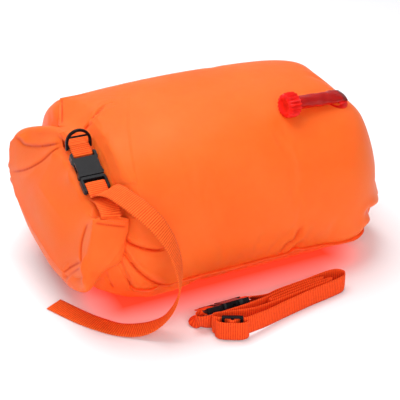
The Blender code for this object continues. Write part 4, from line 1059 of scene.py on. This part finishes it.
def drawn_cloth(
    name, under, left, right, folds, left_free=None, right_free=None, below_buckle=False, lines=(),
):
    """One smooth folded layer over the pieces under it, tucked in or free at its edges. Returns lines on it."""
    eye = camera_place()[3]
    points, faces = [], []
    for obj in under:
        faces += [[i + len(points) for i in face.vertices] for face in obj.data.polygons]
        points += [vertex.co.copy() for vertex in obj.data.vertices]
    left, right = np.array(left, float), np.array(right, float)
    heights, shares = np.linspace(left[0, 0], left[-1, 0], CLOTH_ROWS), np.linspace(0.0, 1.0, CLOTH_COLUMNS)
    u = np.interp(heights, left[:, 0], left[:, 1])[:, None] * (1 - shares)
    u = u + np.interp(heights, right[:, 0], right[:, 1])[:, None] * shares
    v = np.repeat(heights[:, None], len(shares), 1)
    first_u, first_v = math.floor(u.min()) - 2, math.floor(v.min()) - 2
    cells = np.meshgrid(np.arange(first_u, u.max() + 3), np.arange(first_v, v.max() + 3))
    cells = drawn_tight(depths_over(BVHTree.FromPolygons(points, faces), *cells) - CLOTH_GAP)
    down = np.linspace(0.0, 1.0, len(heights))[:, None]
    left_free, right_free = (
        np.array([[float(free is not None and free(height))] for height in heights])
        for free in (left_free, right_free)
    )
    tucked = np.minimum(np.maximum(shares * 8, left_free), np.maximum((1 - shares) * 8, right_free))
    tucked = np.clip(np.minimum(tucked, np.minimum(down, 1 - down) * 16), 0.0, 1.0)
    raised = left_free * np.clip(1 - shares * 12, 0, 1) + right_free * np.clip(1 - (1 - shares) * 12, 0, 1)
    depth = between_cells(cells, first_u, first_v, u, v)
    depth = depth + CLOTH_TUCK * (1 - tucked) - EDGE_LIFT * raised * tucked
    painted_crease_shade = np.zeros(u.shape)
    places = np.stack([u.ravel(), v.ravel()], 1)
    for line, width, press, lift in folds:
        near, along, side = (found.reshape(u.shape) for found in beside(curve(line, 12), places))
        fade = np.clip(np.minimum(along, 1 - along) * 8, 0.0, 1.0) * tucked
        away = near / width
        depth += fade * press * np.exp(-(away**2))
        depth -= fade * lift * np.where(side < 0, np.exp(-((away - 1.6) ** 2) / 5), 0.0)
        # Painted shade: how much the cloth's colour darkens along each fold line
        painted_crease_shade = np.maximum(painted_crease_shade, fade * np.exp(-((away / 0.6) ** 2)))
    rows = [[eye + sight_line(u[i, k], v[i, k]) * depth[i, k] for k in range(len(shares))]
            for i in range(len(heights))]
    cloth = grid_mesh(name, rows, False, "coated_cloth", flip=True)
    if below_buckle:
        keep_below_buckle(cloth)
    set_attribute(cloth, "painted_crease_shade", painted_crease_shade)
    ply(cloth, 0.0008)
    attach(cloth, "bag")
    found = []
    for line in lines:
        nearest = [np.argmin(np.hypot(u - a, v - b)) for a, b in curve(line, 12)]
        depths = depth.ravel()[nearest] - 0.0002
        found.append([eye + sight_line(a, b) * far for (a, b), far in zip(curve(line, 12), depths)])
    return found


# The rolled mouth

def roll_stations(steps):
    """Stations along the roll: centre, width, thickness, and half width, half thickness and bulge."""
    reach, span, height, half_width, half_thickness = ROLL_SIZES
    centres, across, sizes = [], [], []
    for place, direction, wide, thick, bulge in ROLL_STATIONS:
        centres.append(Vector((place[0] * reach, place[1] * span, place[2] * height)))
        across.append(Vector(direction).normalized())
        sizes.append(Vector((wide * half_width, thick * half_thickness, bulge * half_thickness)))
    centres, across, sizes = (spline(route, steps) for route in (centres, across, sizes))
    stations = []
    for i, (centre, direction, size) in enumerate(zip(centres, across, sizes)):
        along = (centres[min(i + 1, len(centres) - 1)] - centres[max(i - 1, 0)]).normalized()
        wide = (direction - along * direction.dot(along)).normalized()
        stations.append((centre, wide, along.cross(wide), size))
    return stations


def roll_point(station, angle, inside=1.0):
    centre, wide, thin, (half_width, half_thickness, bulge) = station
    across = math.copysign(abs(math.cos(angle)) ** 0.8, math.cos(angle))
    up = math.copysign(abs(math.sin(angle)) ** 0.9, math.sin(angle))
    return (centre + wide * (half_width * inside * across)
            + thin * (half_thickness * inside * up + bulge * (1 - across**2)))


class SWIMBUOY_OT_roll(bpy.types.Operator):
    """Make the rolled and folded mouth with its inner turns and its sewn hem"""

    bl_idname = "swimbuoy.roll"
    bl_label = "Rolled mouth"

    def execute(self, context):
        stations = roll_stations(10)
        angles = [math.tau * i / ROLL_RING for i in range(ROLL_RING)]
        rows = [[roll_point(station, angle) for angle in angles] for station in stations]
        roll = grid_mesh("rolled_mouth_cloth", rows, True, "coated_cloth")
        subdivide(roll)
        bake(roll)
        press_creases(roll, ROLL_CREASES)
        rings = places_of(roll)[:len(stations) * ROLL_RING].reshape(len(stations), ROLL_RING, 3)
        ply(roll, 0.0011)
        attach(roll, "bag")
        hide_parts("rolled_mouth")
        self.turns(stations[:14])
        bag = bpy.data.objects["bag_cloth"]
        under = [roll, self.gusset(stations), self.fold(stations[66:-36]), bag]
        hems = drawn_cloth(
            "mouth_front_cloth", under, FRONT_LEFT_EDGE, FRONT_RIGHT_EDGE, FRONT_FOLDS,
            right_free=lambda v: v > FRONT_FREE_FROM, below_buckle=True, lines=HEM_LINES,
        )
        stitched(context, "flap_stitches", hems)
        drawn_cloth(
            "shoulder_cloth", under, SHOULDER_LEFT_EDGE, SHOULDER_RIGHT_EDGE, SHOULDER_FOLDS,
            left_free=lambda v: v < SHOULDER_FREE_TO, below_buckle=True,
        )
        drawn_cloth("collar_cloth", [bag], COLLAR_LEFT_EDGE, COLLAR_RIGHT_EDGE, COLLAR_FOLDS)
        self.strips(stations[40:-38])
        half = ROLL_RING // 2
        lines = []
        for back in (4, 8):
            row = rings[-back]
            lines += [row[[*range(half, ROLL_RING), 0]], row[:half + 1]]
        stitched(context, "hem_stitches", lines)
        return {"FINISHED"}

    def strips(self, stations):
        """The two stiffening strips, pressed together in the middle of the roll."""
        for name, side in (("mouth_strip_front", 1), ("mouth_strip_back", -1)):
            rows = []
            for centre, wide, thin, size in stations:
                row = []
                for a, b in ((-1, -1), (0, -1), (1, -1), (1, 1), (0, 1), (-1, 1)):
                    bulge = size.z * (1 - (a * STRIP_HALF_WIDTH / size.x) ** 2)
                    level = STRIP_HALF_THICKNESS * b + STRIP_OFFSET * side + bulge
                    row.append(centre + wide * (STRIP_HALF_WIDTH * a) + thin * level)
                rows.append(row)
            strip = grid_mesh(name + "_flat", rows, True, "pale_strip")
            close_ends(strip)
            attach(strip, "bag")
            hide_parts(name)

    def gusset(self, stations):
        """The cloth that closes the corner between the roll's upper arm and its broad front."""
        rows = []
        for i in range(35):
            share = i / 34
            arm, front = stations[round(3 + 31 * share)], stations[round(72 - 30 * share)]
            upper = roll_point(arm, math.radians(128.0), 0.97)
            lower = roll_point(front, math.radians(38.0), 0.97)
            middle = (upper + lower) / 2 + Vector((0.010 * (1 - share) + 0.003, 0.0, -0.002))
            rows.append(spline([upper, (upper + middle) / 2 + Vector((0.003, 0, 0)), middle,
                                (lower + middle) / 2 + Vector((0.001, 0, 0)), lower], 6))
        cloth = grid_mesh("mouth_gusset_cloth", rows, False, "coated_cloth")
        ply(cloth, CLOTH_THICKNESS, 0.0)
        subdivide(cloth)
        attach(cloth, "bag")
        return cloth

    def fold(self, stations):
        """The cloth that runs from the roll's broad front over its upper edge to the bag under the buckle."""
        rows = []
        for station in stations:
            _, wide, thin, _ = station
            start = roll_point(station, math.radians(62.0)) + thin * 0.0006
            edge = roll_point(station, math.radians(12.0)) + thin * 0.0035 + wide * 0.004
            side = min(abs(start.y) / COLLAR_HALF_WIDTH, 0.98)
            collar = WIDEST_HEIGHT + COLLAR_RISE * (1 - side**DOME_POWER) ** (1 / DOME_POWER)
            end = Vector((-0.176, start.y, collar - 0.0015))
            top = Vector((-0.1965, start.y, max(collar - 0.006, edge.z + 0.004)))
            wave = 0.0016 * math.sin(start.y * 95.0 + 0.7) + 0.0010 * math.sin(start.y * 211.0)
            rows.append(spline(
                [start, edge + thin * wave, top + thin * wave, end + Vector((-0.006, 0.0, 0.0006)), end], 8
            ))
        cloth = grid_mesh("mouth_fold_cloth", rows, False, "coated_cloth", flip=True)
        keep_below_buckle(cloth)
        ply(cloth, CLOTH_THICKNESS)
        subdivide(cloth)
        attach(cloth, "bag")
        return cloth

    def turns(self, stations):
        """The cloth's inner turns, seen in the open end of the roll."""
        shares = np.linspace(0.0, 1.0, 90)
        rows = [[roll_point(station, math.tau * 2.2 * turn + 0.6, 0.86 - 0.70 * turn) for turn in shares]
                for station in stations]
        inner = grid_mesh("roll_inner_turns", rows, False, "coated_cloth")
        ply(inner, CLOTH_THICKNESS, 0.0)
        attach(inner, "bag")


# Geometry nodes

def new_tree(name, build, values):
    """A node group with a socket for each value. It ends in real geometry with its material set."""
    tree = bpy.data.node_groups.new(name, "GeometryNodeTree")
    tree.interface.new_socket(name="Geometry", in_out="INPUT", socket_type="NodeSocketGeometry")
    for label, value in values.items():
        kind = "NodeSocketFloat" if isinstance(value, float) else "NodeSocketMaterial"
        tree.interface.new_socket(name=label, in_out="INPUT", socket_type=kind)
    tree.interface.new_socket(name="Geometry", in_out="OUTPUT", socket_type="NodeSocketGeometry")
    entry = add_node(tree, "NodeGroupInput").outputs
    real = add_node(tree, "GeometryNodeRealizeInstances", {"Geometry": build(tree, entry)})
    inputs = {"Geometry": real.outputs["Geometry"], "Material": entry["Material"]}
    paint = add_node(tree, "GeometryNodeSetMaterial", inputs)
    add_node(tree, "NodeGroupOutput", {"Geometry": paint.outputs["Geometry"]})
    return tree


def raised_ribs(tree, entry):
    """Raises crosswise ribs on webbing, from its measures along and across."""
    kind = "GeometryNodeInputNamedAttribute"
    along, across = (
        add_node(tree, kind, {"Name": name}, data_type="FLOAT").outputs["Attribute"]
        for name in ("along", "across")
    )
    turns = math_node(tree, "DIVIDE", along, entry["Pitch"])
    wave = math_node(tree, "SINE", math_node(tree, "MULTIPLY", turns, math.tau))
    crown = math_node(tree, "ADD", math_node(tree, "MULTIPLY", wave, 0.5), 0.5)
    edge = math_node(tree, "POWER", math_node(tree, "ABSOLUTE", across), 6.0)
    body = math_node(tree, "SUBTRACT", 1.0, edge)
    height = math_node(tree, "MULTIPLY", math_node(tree, "MULTIPLY", wave, body), entry["Depth"])
    normal = add_node(tree, "GeometryNodeInputNormal").outputs[0]
    move = add_node(tree, "ShaderNodeVectorMath", {"Vector": normal, "Scale": height}, operation="SCALE")
    # Stored for the webbing's painted highlight on each rib's crown and painted shade between the ribs
    inputs = {"Geometry": entry["Geometry"], "Name": "rib_crown_painted_light", "Value": crown}
    store = add_node(tree, "GeometryNodeStoreNamedAttribute", inputs, data_type="FLOAT", domain="POINT")
    inputs = {"Geometry": store.outputs["Geometry"], "Offset": move.outputs["Vector"]}
    return add_node(tree, "GeometryNodeSetPosition", inputs).outputs["Geometry"]


def laid_stitches(tree, entry):
    """Lays short rounded stitches along a line."""
    route = add_node(tree, "GeometryNodeMeshToCurve", {"Mesh": entry["Geometry"]}).outputs["Curve"]
    inputs = {"Curve": route, "Length": entry["Pitch"]}
    points = add_node(tree, "GeometryNodeCurveToPoints", inputs, mode="LENGTH").outputs
    inputs = {"Segments": 8, "Rings": 6, "Radius": 1.0}
    bead = add_node(tree, "GeometryNodeMeshUVSphere", inputs).outputs["Mesh"]
    half = math_node(tree, "MULTIPLY", entry["Length"], 0.5)
    size = add_node(tree, "ShaderNodeCombineXYZ", {"X": entry["Radius"], "Y": entry["Radius"], "Z": half})
    stitch = add_node(tree, "GeometryNodeTransform", {"Geometry": bead, "Scale": size.outputs["Vector"]})
    copies = add_node(tree, "GeometryNodeInstanceOnPoints", {
        "Points": points["Points"], "Rotation": points["Rotation"], "Instance": stitch.outputs["Geometry"],
    })
    return copies.outputs["Instances"]


def run_tree(obj, name, build, **values):
    """Runs a piece through a node group, made the first time that it is asked for, and bakes the result."""
    tree = bpy.data.node_groups.get(name) or new_tree(name, build, values)
    modifier = obj.modifiers.new(name, "NODES")
    modifier.node_group = tree
    for item in tree.interface.items_tree:
        if item.item_type == "SOCKET" and item.in_out == "INPUT" and item.name in values:
            modifier[item.identifier] = values[item.name]
    return bake(obj)


def stitched(context, name, lines):
    """Rows of stitches along lines, in one piece on the bag."""
    settings = context.scene.swim_buoy
    points, edges = [], []
    for line in lines:
        edges += [(len(points) + i, len(points) + i + 1) for i in range(len(line) - 1)]
        points += [tuple(place) for place in line]
    mesh = bpy.data.meshes.new(name)
    mesh.from_pydata(points, edges, [])
    thread = mesh_object(name, mesh, "sewing_thread")
    run_tree(
        thread, "thread_stitches", laid_stitches, Pitch=settings.stitch_pitch, Length=settings.stitch_length,
        Radius=settings.stitch_radius, Material=material_named("sewing_thread"),
    )
    thread.data.shade_smooth()
    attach(thread, "bag")


# Webbing

def on_base(base, x, z, across):
    """A place of webbing in the middle of a buckle's frame, with the direction across it."""
    return base @ Vector((x, 0.0, z)), across


def half_turn(base, centre_x, centre_z, radius, start, end, across):
    found = []
    for i in range(TURN_STEPS + 1):
        angle = math.radians(start + (end - start) * i / TURN_STEPS)
        x, z = centre_x + radius * math.cos(angle), centre_z + radius * math.sin(angle)
        found.append(on_base(base, x, z, across))
    return found


def ladder(base, across, start_gap):
    """Webbing in under the plug's two bars, round the inner one and out over both."""
    under, over = BAR_CENTRE - PLY_OFFSET, BAR_CENTRE + PLY_OFFSET
    turn, end = GRIP_BAR + BAR_LENGTH / 2, PLUG_END + start_gap
    return [
        on_base(base, end, under, across), on_base(base, (end + turn) / 2, under, across),
        *half_turn(base, turn, BAR_CENTRE, PLY_OFFSET, 270.0, 90.0, across),
        on_base(base, (end + turn) / 2, over, across), on_base(base, end, over, across),
    ]


def smooth_places(places, steps):
    return list(zip(*(spline([place[k] for place in places], steps) for k in (0, 1))))


def webbing(context, name, places, finish="woven_webbing"):
    """Ribbed webbing along places, each with the direction across it. Prints its length."""
    centres = np.array([list(place) for place, _ in places])
    across = np.array([list(direction.normalized()) for _, direction in places])
    run = run_along(centres)
    wanted = np.linspace(0.0, run[-1], int(run[-1] / WEBBING_STEP) + 2)
    centres, across = resampled(centres, run, wanted), resampled(across, run, wanted)
    ahead, kernel = np.gradient(centres, axis=0), np.ones(5) / 5
    ahead = np.stack([np.convolve(np.pad(ahead[:, k], 2, mode="edge"), kernel, "valid") for k in range(3)], 1)
    ahead /= np.linalg.norm(ahead, axis=1)[:, None]
    across -= ahead * np.sum(across * ahead, 1)[:, None]
    across /= np.linalg.norm(across, axis=1)[:, None]
    thin = np.cross(ahead, across)
    shares = np.linspace(-1.0, 1.0, 9)
    section = [(s, side * 0.5 * (1 - 0.45 * abs(s) ** 10)) for side in (-1, 1) for s in shares[::-side]]
    half_width, thickness = WEBBING_WIDTH / 2 * 0.998, WEBBING_THICKNESS * 0.92
    rows = np.stack([centres + across * (half_width * s) + thin * (thickness * t) for s, t in section], 1)
    strap = grid_mesh(name, rows, True, finish)
    set_attribute(strap, "along", np.repeat(wanted, len(section)))
    set_attribute(strap, "across", np.tile([s for s, _ in section], len(wanted)))
    close_ends(strap)
    settings = context.scene.swim_buoy
    strap = run_tree(
        strap, "webbing_ribs", raised_ribs, Pitch=settings.rib_pitch, Depth=settings.rib_depth,
        Material=material_named(finish),
    )
    print(name, "length", round(run[-1], 4))
    return strap


class SWIMBUOY_OT_closure_strap(bpy.types.Operator):
    """Make the long closure strap and the webbing tab that holds the ring and the socket"""

    bl_idname = "swimbuoy.closure_strap"
    bl_label = "Closure strap and tab"

    def execute(self, context):
        base = closure_frame()
        across = base.to_3x3() @ Vector((0.0, 1.0, 0.0))
        stations = roll_stations(3)
        hem = stations[-1][0]
        inward = (hem - stations[-2][0]).normalized()
        turns = ladder(base, across, 0.007)
        rise = hem + inward * 0.007
        bend = (rise + turns[0][0]) / 2 + inward * (WEBBING_WIDTH / 6)
        start = [(place, across) for place in (hem - inward * 0.007, hem, rise, bend)]
        tail = [(Vector(place) * STRAP_SPAN, Vector(turn).normalized()) for place, turn in STRAP_STATIONS]
        places = smooth_places(start + turns[:1], 10)[:-1] + turns[:-1] + smooth_places(turns[-1:] + tail, 10)
        strap = webbing(context, "closure_strap_webbing", places)
        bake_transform(strap)
        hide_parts("closure_strap")
        self.tab(context, base, across)
        return {"FINISHED"}

    def tab(self, context, base, across):
        """The tab: its tail sewn to the cloth, its loop round the ring's bar and the socket's bar."""
        reach = WEBBING_SLACK + WEBBING_THICKNESS / 2
        low = BAR_BASE_HEIGHT - reach
        radius = BAR_CENTRE - low
        left, right = radius - RING_OFFSET - RING_WIRE / 2 - reach, BAR_LENGTH + reach - radius
        places = []
        for share in (1.0, 0.8, 0.6, 0.4, 0.2):
            places.append(on_base(base, left - radius - 0.031 * share, low - 0.0105 * share**1.6, across))
        places += [on_base(base, x, low, across) for x in (left - 0.001, (left + right) / 2)]
        places = smooth_places(places, 8)
        places += half_turn(base, right, BAR_CENTRE, radius, -90.0, 90.0, across)
        places.append(on_base(base, (left + right) / 2, BAR_CENTRE + radius, across))
        places += half_turn(base, left, BAR_CENTRE, radius, 90.0, 205.0, across)
        tab = webbing(context, "anchor_tab_webbing", places)
        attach(tab, "bag")
        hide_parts("anchor_tab")
        stitched(context, "tab_stitches", [
            [base @ Vector((x, side * 0.0105, BAR_CENTRE + radius + 0.0009)) for side in (-1, 0, 1)]
            for x in (-0.0065, -0.0035)
        ])


def belt_route(shares, rise_shares):
    """Places along the belt's folds, raised by a share of what its slider needs."""
    x, y, span, spread = BELT_PLACE
    rise = (SLIDER_WIDTH - SLIDER_OPENING) / 2 + WEBBING_SLACK
    places = []
    for i, (x_share, y_share, lean) in enumerate(shares):
        lift = rise * (rise_shares[i] if i < len(rise_shares) else 0.0)
        centre = Vector((x + span * x_share, y + spread * y_share, BELT_HEIGHT + WEBBING_WIDTH / 2 + lift))
        places.append((centre, Vector((0.0, -lean, 1.0)).normalized()))
    return places


def slider_route(half, height):
    """Places past the slider, from half of them: how far along and how far in front, in shares of its size."""
    heading = math.radians(SLIDER[2])
    along = Vector((math.cos(heading), math.sin(heading), 0.0))
    front = Vector((-math.sin(heading), math.cos(heading), 0.0))
    front = -front if front.y > 0 else front
    step = SLIDER_THICKNESS / 2 + WEBBING_SLACK + WEBBING_THICKNESS / 2
    reach = SLIDER_LENGTH / 2 - SLIDER_BAR / 2
    middle = Vector((SLIDER[0], SLIDER[1], BELT_HEIGHT + height))
    shares = [(-a, b) for a, b in reversed(half)] + list(half)
    return [(middle + along * (reach * a) + front * (step * b), Vector((0.0, 0.0, 1.0))) for a, b in shares]


class SWIMBUOY_OT_belt(bpy.types.Operator):
    """Make the folded waist belt"""

    bl_idname = "swimbuoy.belt"
    bl_label = "Waist belt"

    def execute(self, context):
        base = belt_frame()
        across = base.to_3x3() @ Vector((0.0, 1.0, 0.0))
        loop = [on_base(base, -BELT_END_LAP, BAR_CENTRE - PLY_OFFSET, across)]
        loop += half_turn(base, BAR_LENGTH / 2, BAR_CENTRE, PLY_OFFSET, 270.0, 450.0, across)
        turns = ladder(base, across, 0.006)
        route = [on_base(base, -BELT_END_LAP / 3, BAR_CENTRE + PLY_OFFSET, across)]
        route += belt_route(BELT_FRONT, (0.0,) * (len(BELT_FRONT) - 2) + (0.3, 0.75))
        route += slider_route(SLIDER_WEAVE, SLIDER_WIDTH / 2)
        route += belt_route(BELT_RETURN, (0.95, 0.8, 0.6, 0.25)) + turns[:1]
        places = loop + smooth_places(route, 10)[:-1] + turns
        belt = webbing(context, "belt_webbing_ribbed", places, "belt_weave")
        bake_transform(belt)
        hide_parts("belt_webbing")
        places = smooth_places(slider_route(SLIDER_COVER, WEBBING_WIDTH / 2 + 0.001), 10)
        cover = webbing(context, "belt_end_ply", places, "belt_weave")
        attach(cover, "belt")
        return {"FINISHED"}


class SWIMBUOY_OT_hardware(bpy.types.Operator):
    """Give the buckles, the ring, the slider and the hidden inner parts their finish"""

    bl_idname = "swimbuoy.hardware"
    bl_label = "Buckles and ring"

    def execute(self, context):
        self.crossbar()
        for finish, names in NODE_FINISHES.items():
            for name in names:
                mesh = frame["nodes"][name].data
                mesh.materials.clear()
                mesh.materials.append(material_named(finish))
        return {"FINISHED"}

    def crossbar(self):
        """The ring's thin crossbar, which stands just above the webbing."""
        base = closure_frame()
        local = beside_buckle(places_of(frame["nodes"]["d_ring"]))[0]
        level = local[np.abs(local[:, 0] - CROSSBAR_PLACE) < CROSSBAR_RADIUS]
        ends = [level[level[:, 1] < 0].mean(0), level[level[:, 1] > 0].mean(0)]
        angles = [math.tau * i / 16 for i in range(16)]
        circle = [CROSSBAR_RADIUS * np.array([math.cos(angle), 0.0, math.sin(angle)]) for angle in angles]
        rows = []
        for share in (0.0, 0.25, 0.5, 0.75, 1.0):
            centre = ends[0] * (1 - share) + ends[1] * share
            rows.append([base @ Vector(centre + place) for place in circle])
        bar = grid_mesh("d_ring_crossbar", rows, True, "moulded_plastic")
        close_ends(bar)
        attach(bar, "d_ring")


class SWIMBUOY_OT_valve(bpy.types.Operator):
    """Make the soft inflation tube that stands on the bag's welded flange"""

    bl_idname = "swimbuoy.valve"
    bl_label = "Inflation valve"

    def execute(self, context):
        fold, (cap, along) = joint("valve_fold")[0], joint("cap_twist")
        if (cap - fold).dot(along) < 0:
            along = -along
        low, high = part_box("valve_flange")
        centre = (low + high) / 2
        side = (fold - centre).cross(along).normalized()
        up = along.cross(side).normalized()
        if up.z < 0:
            side, up = -side, -up
        normal, length = (fold - centre).normalized(), (cap - fold).length
        rings = self.rings(centre, fold, normal, along, side, up, length)
        tube = grid_mesh("valve_tube_vinyl", rings, True, "soft_vinyl")
        # Painted shade: the tube's upper half darkened past its fold, and darkest at the fold itself
        painted_shades = []
        for i in range(len(rings)):
            at_fold = max(0.0, 1.0 - abs(i - TUBE_FOLD_ROW) / 9.0)
            for k in range(TUBE_RING):
                upper = 0.5 + 0.5 * math.tanh(5.0 * math.sin(math.tau * k / TUBE_RING) + 1.0)
                painted_shades.append(min(1.0, 0.62 * upper * (i > TUBE_FOLD_ROW - 6) + at_fold * upper))
        set_attribute(tube, "painted_vinyl_shade", painted_shades)
        ply(tube, 0.0008)
        bake(tube)
        edit_mesh(tube, face_outward)
        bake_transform(tube)
        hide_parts("valve_tube")
        return {"FINISHED"}

    def rings(self, centre, fold, normal, along, side, up, length):
        """The tube's rings, up from the flange and over at the fold, flat there and round at the cap."""
        points = [
            centre + normal * 0.0004, centre + normal * 0.0024 - along * 0.0030,
            fold - normal * 0.0072 - along * 0.0075, fold - along * 0.0075 - up * 0.0050,
            fold + along * 0.002 - up * 0.0030, fold + along * 0.014 - up * 0.0030,
            fold + along * (length * 0.45) - up * 0.0016, fold + along * (length * 0.7) - up * 0.0004,
            fold + along * (length - 0.001),
        ]
        route = spline(points, 12)
        sizes = spline([Vector((a, b, 0.0)) for a, b in TUBE_SHAPES], 12)
        rows = []
        for i, (place, size) in enumerate(zip(route, sizes)):
            ahead = (route[min(i + 1, len(route) - 1)] - route[max(i - 1, 0)]).normalized()
            rise = ahead.cross(side)
            if i > TUBE_FOLD_ROW - 10 and rise.dot(up) < 0:
                rise = -rise
            row = []
            for k in range(TUBE_RING):
                angle = math.tau * k / TUBE_RING
                crumple = 0.045 * math.sin(3 * angle + i * 0.13) + 0.03 * math.sin(5 * angle - i * 0.21 + 1.0)
                crumple += 0.03 * math.sin(i * 0.55 + 2 * math.sin(angle))
                radius = TUBE_RADIUS * (1 + crumple * min(i / TUBE_FOLD_ROW, 1.0))
                out = side * (radius * size.x * math.cos(angle)) + rise * (radius * size.y * math.sin(angle))
                row.append(place + out)
            rows.append(row)
        return rows


class SWIMBUOY_OT_studio(bpy.types.Operator):
    """Make the pale floor with its painted glow round the bag, the soft light and the camera"""

    bl_idname = "swimbuoy.studio"
    bl_label = "Studio"

    def execute(self, context):
        scene = context.scene
        scene.view_settings.view_transform = "Standard"
        tree, shader = new_finish("studio_floor", 0.85, Specular_Ior_Level=0.2)
        self.painted_floor_glow(tree, shader, tuple(scene.swim_buoy.floor_colour))
        mesh = bpy.data.meshes.new("studio_floor")
        corners = [(x * FLOOR_REACH, y * FLOOR_REACH, 0) for x, y in ((-1, -1), (1, -1), (1, 1), (-1, 1))]
        mesh.from_pydata(corners, [], [(0, 1, 2, 3)])
        floor = mesh_object("studio_floor", mesh, "studio_floor")
        floor.location.z = -0.0003
        self.world(scene)
        for name, place, power in LIGHTS:
            light = bpy.data.lights.new(name, "AREA")
            light.shape = "DISK"
            light.size = 1.6
            light.energy = power
            self.placed(scene, light, Vector(place), Vector((0.0, 0.0, 0.08)) - Vector(place))
        camera = bpy.data.cameras.new("camera")
        camera.sensor_width = 36.0
        camera.lens = CAMERA_FOCUS / VIEW_SIZE * camera.sensor_width
        camera.clip_start = 0.05
        _, _, back, eye = camera_place()
        scene.camera = self.placed(scene, camera, eye, -back)
        return {"FINISHED"}

    def placed(self, scene, data, place, facing):
        """A lamp or camera at a place, turned to face a direction."""
        obj = bpy.data.objects.new(data.name, data)
        scene.collection.objects.link(obj)
        obj.location = place
        obj.rotation_mode = "QUATERNION"
        obj.rotation_quaternion = facing.to_track_quat("-Z", "Y")
        return obj

    def painted_floor_glow(self, tree, shader, colour):
        """Painted light: a red-orange tint and an emission painted into the floor's colour around the bag,
        standing in for the daylight that comes through the bright cloth.
        """
        place = add_node(tree, "ShaderNodeTexCoord").outputs["Object"]
        parts = add_node(tree, "ShaderNodeSeparateXYZ", {"Vector": place})
        squares = []
        for axis, middle, reach in zip("XY", PAINTED_GLOW_PLACE, PAINTED_GLOW_REACH):
            apart = math_node(tree, "ABSOLUTE", math_node(tree, "SUBTRACT", parts.outputs[axis], middle))
            beyond = math_node(tree, "MAXIMUM", math_node(tree, "SUBTRACT", apart, reach), 0.0)
            squares.append(math_node(tree, "POWER", beyond, 2.0))
        distance = math_node(tree, "SQRT", math_node(tree, "ADD", *squares))
        near = math_node(tree, "SUBTRACT", 1.0, math_node(tree, "DIVIDE", distance, PAINTED_GLOW_FADE))
        near = math_node(tree, "MAXIMUM", near, 0.0)
        near = math_node(tree, "POWER", near, 1.8)
        # Painted light: near the bag the floor's colour turns red-orange and it emits red-orange light, a glow
        # that no lamp casts
        tree.links.new(mixed(tree, near, (*colour, 1.0), (1.0, 0.07, 0.04, 1.0)), shader.inputs["Base Color"])
        shader.inputs["Emission Color"].default_value = (1.0, 0.06, 0.02, 1.0)
        tree.links.new(math_node(tree, "MULTIPLY", near, PAINTED_GLOW_STRENGTH), shader.inputs["Emission Strength"])

    def world(self, scene):
        """Soft light all round, while the camera sees plain white."""
        scene.world = bpy.data.worlds.new("studio_world")
        scene.world.use_nodes = True
        tree = scene.world.node_tree
        tree.nodes.clear()
        soft = add_node(tree, "ShaderNodeBackground", {"Color": (0.97, 0.98, 1.0, 1.0), "Strength": 0.45})
        plain = add_node(tree, "ShaderNodeBackground", {"Color": (1.0, 1.0, 1.0, 1.0), "Strength": 1.0})
        rays = add_node(tree, "ShaderNodeLightPath").outputs
        seen = math_node(tree, "MAXIMUM", rays["Is Camera Ray"], rays["Is Transmission Ray"])
        mix = add_node(tree, "ShaderNodeMixShader", {0: seen, 1: soft.outputs[0], 2: plain.outputs[0]})
        add_node(tree, "ShaderNodeOutputWorld", {"Surface": mix.outputs[0]})


OPERATORS = (
    SWIMBUOY_OT_finishes, SWIMBUOY_OT_studio, SWIMBUOY_OT_bag, SWIMBUOY_OT_roll, SWIMBUOY_OT_closure_strap,
    SWIMBUOY_OT_belt, SWIMBUOY_OT_hardware, SWIMBUOY_OT_valve,
)


class SWIMBUOY_PT_panel(bpy.types.Panel):
    """The pieces of the swim buoy and the settings of their finish."""

    bl_idname = "SWIMBUOY_PT_panel"
    bl_label = "Swim buoy dry bag"
    bl_space_type = "VIEW_3D"
    bl_region_type = "UI"
    bl_category = "Swim buoy"

    def draw(self, context):
        settings = context.scene.swim_buoy
        for name in SwimBuoySettings.__annotations__:
            self.layout.prop(settings, name)
        for operator in OPERATORS:
            self.layout.operator(operator.bl_idname)


CLASSES = (SwimBuoySettings, *OPERATORS, SWIMBUOY_PT_panel)


def register():
    for item in CLASSES:
        bpy.utils.register_class(item)
    bpy.types.Scene.swim_buoy = bpy.props.PointerProperty(type=SwimBuoySettings)


def unregister():
    del bpy.types.Scene.swim_buoy
    for item in reversed(CLASSES):
        bpy.utils.unregister_class(item)


def main():
    register()
    bpy.ops.swimbuoy.finishes()
    bpy.ops.swimbuoy.studio()
    bpy.ops.swimbuoy.bag()
    bpy.ops.swimbuoy.roll()
    bpy.ops.swimbuoy.closure_strap()
    bpy.ops.swimbuoy.belt()
    bpy.ops.swimbuoy.hardware()
    bpy.ops.swimbuoy.valve()


if __name__ == "__main__":
    main()
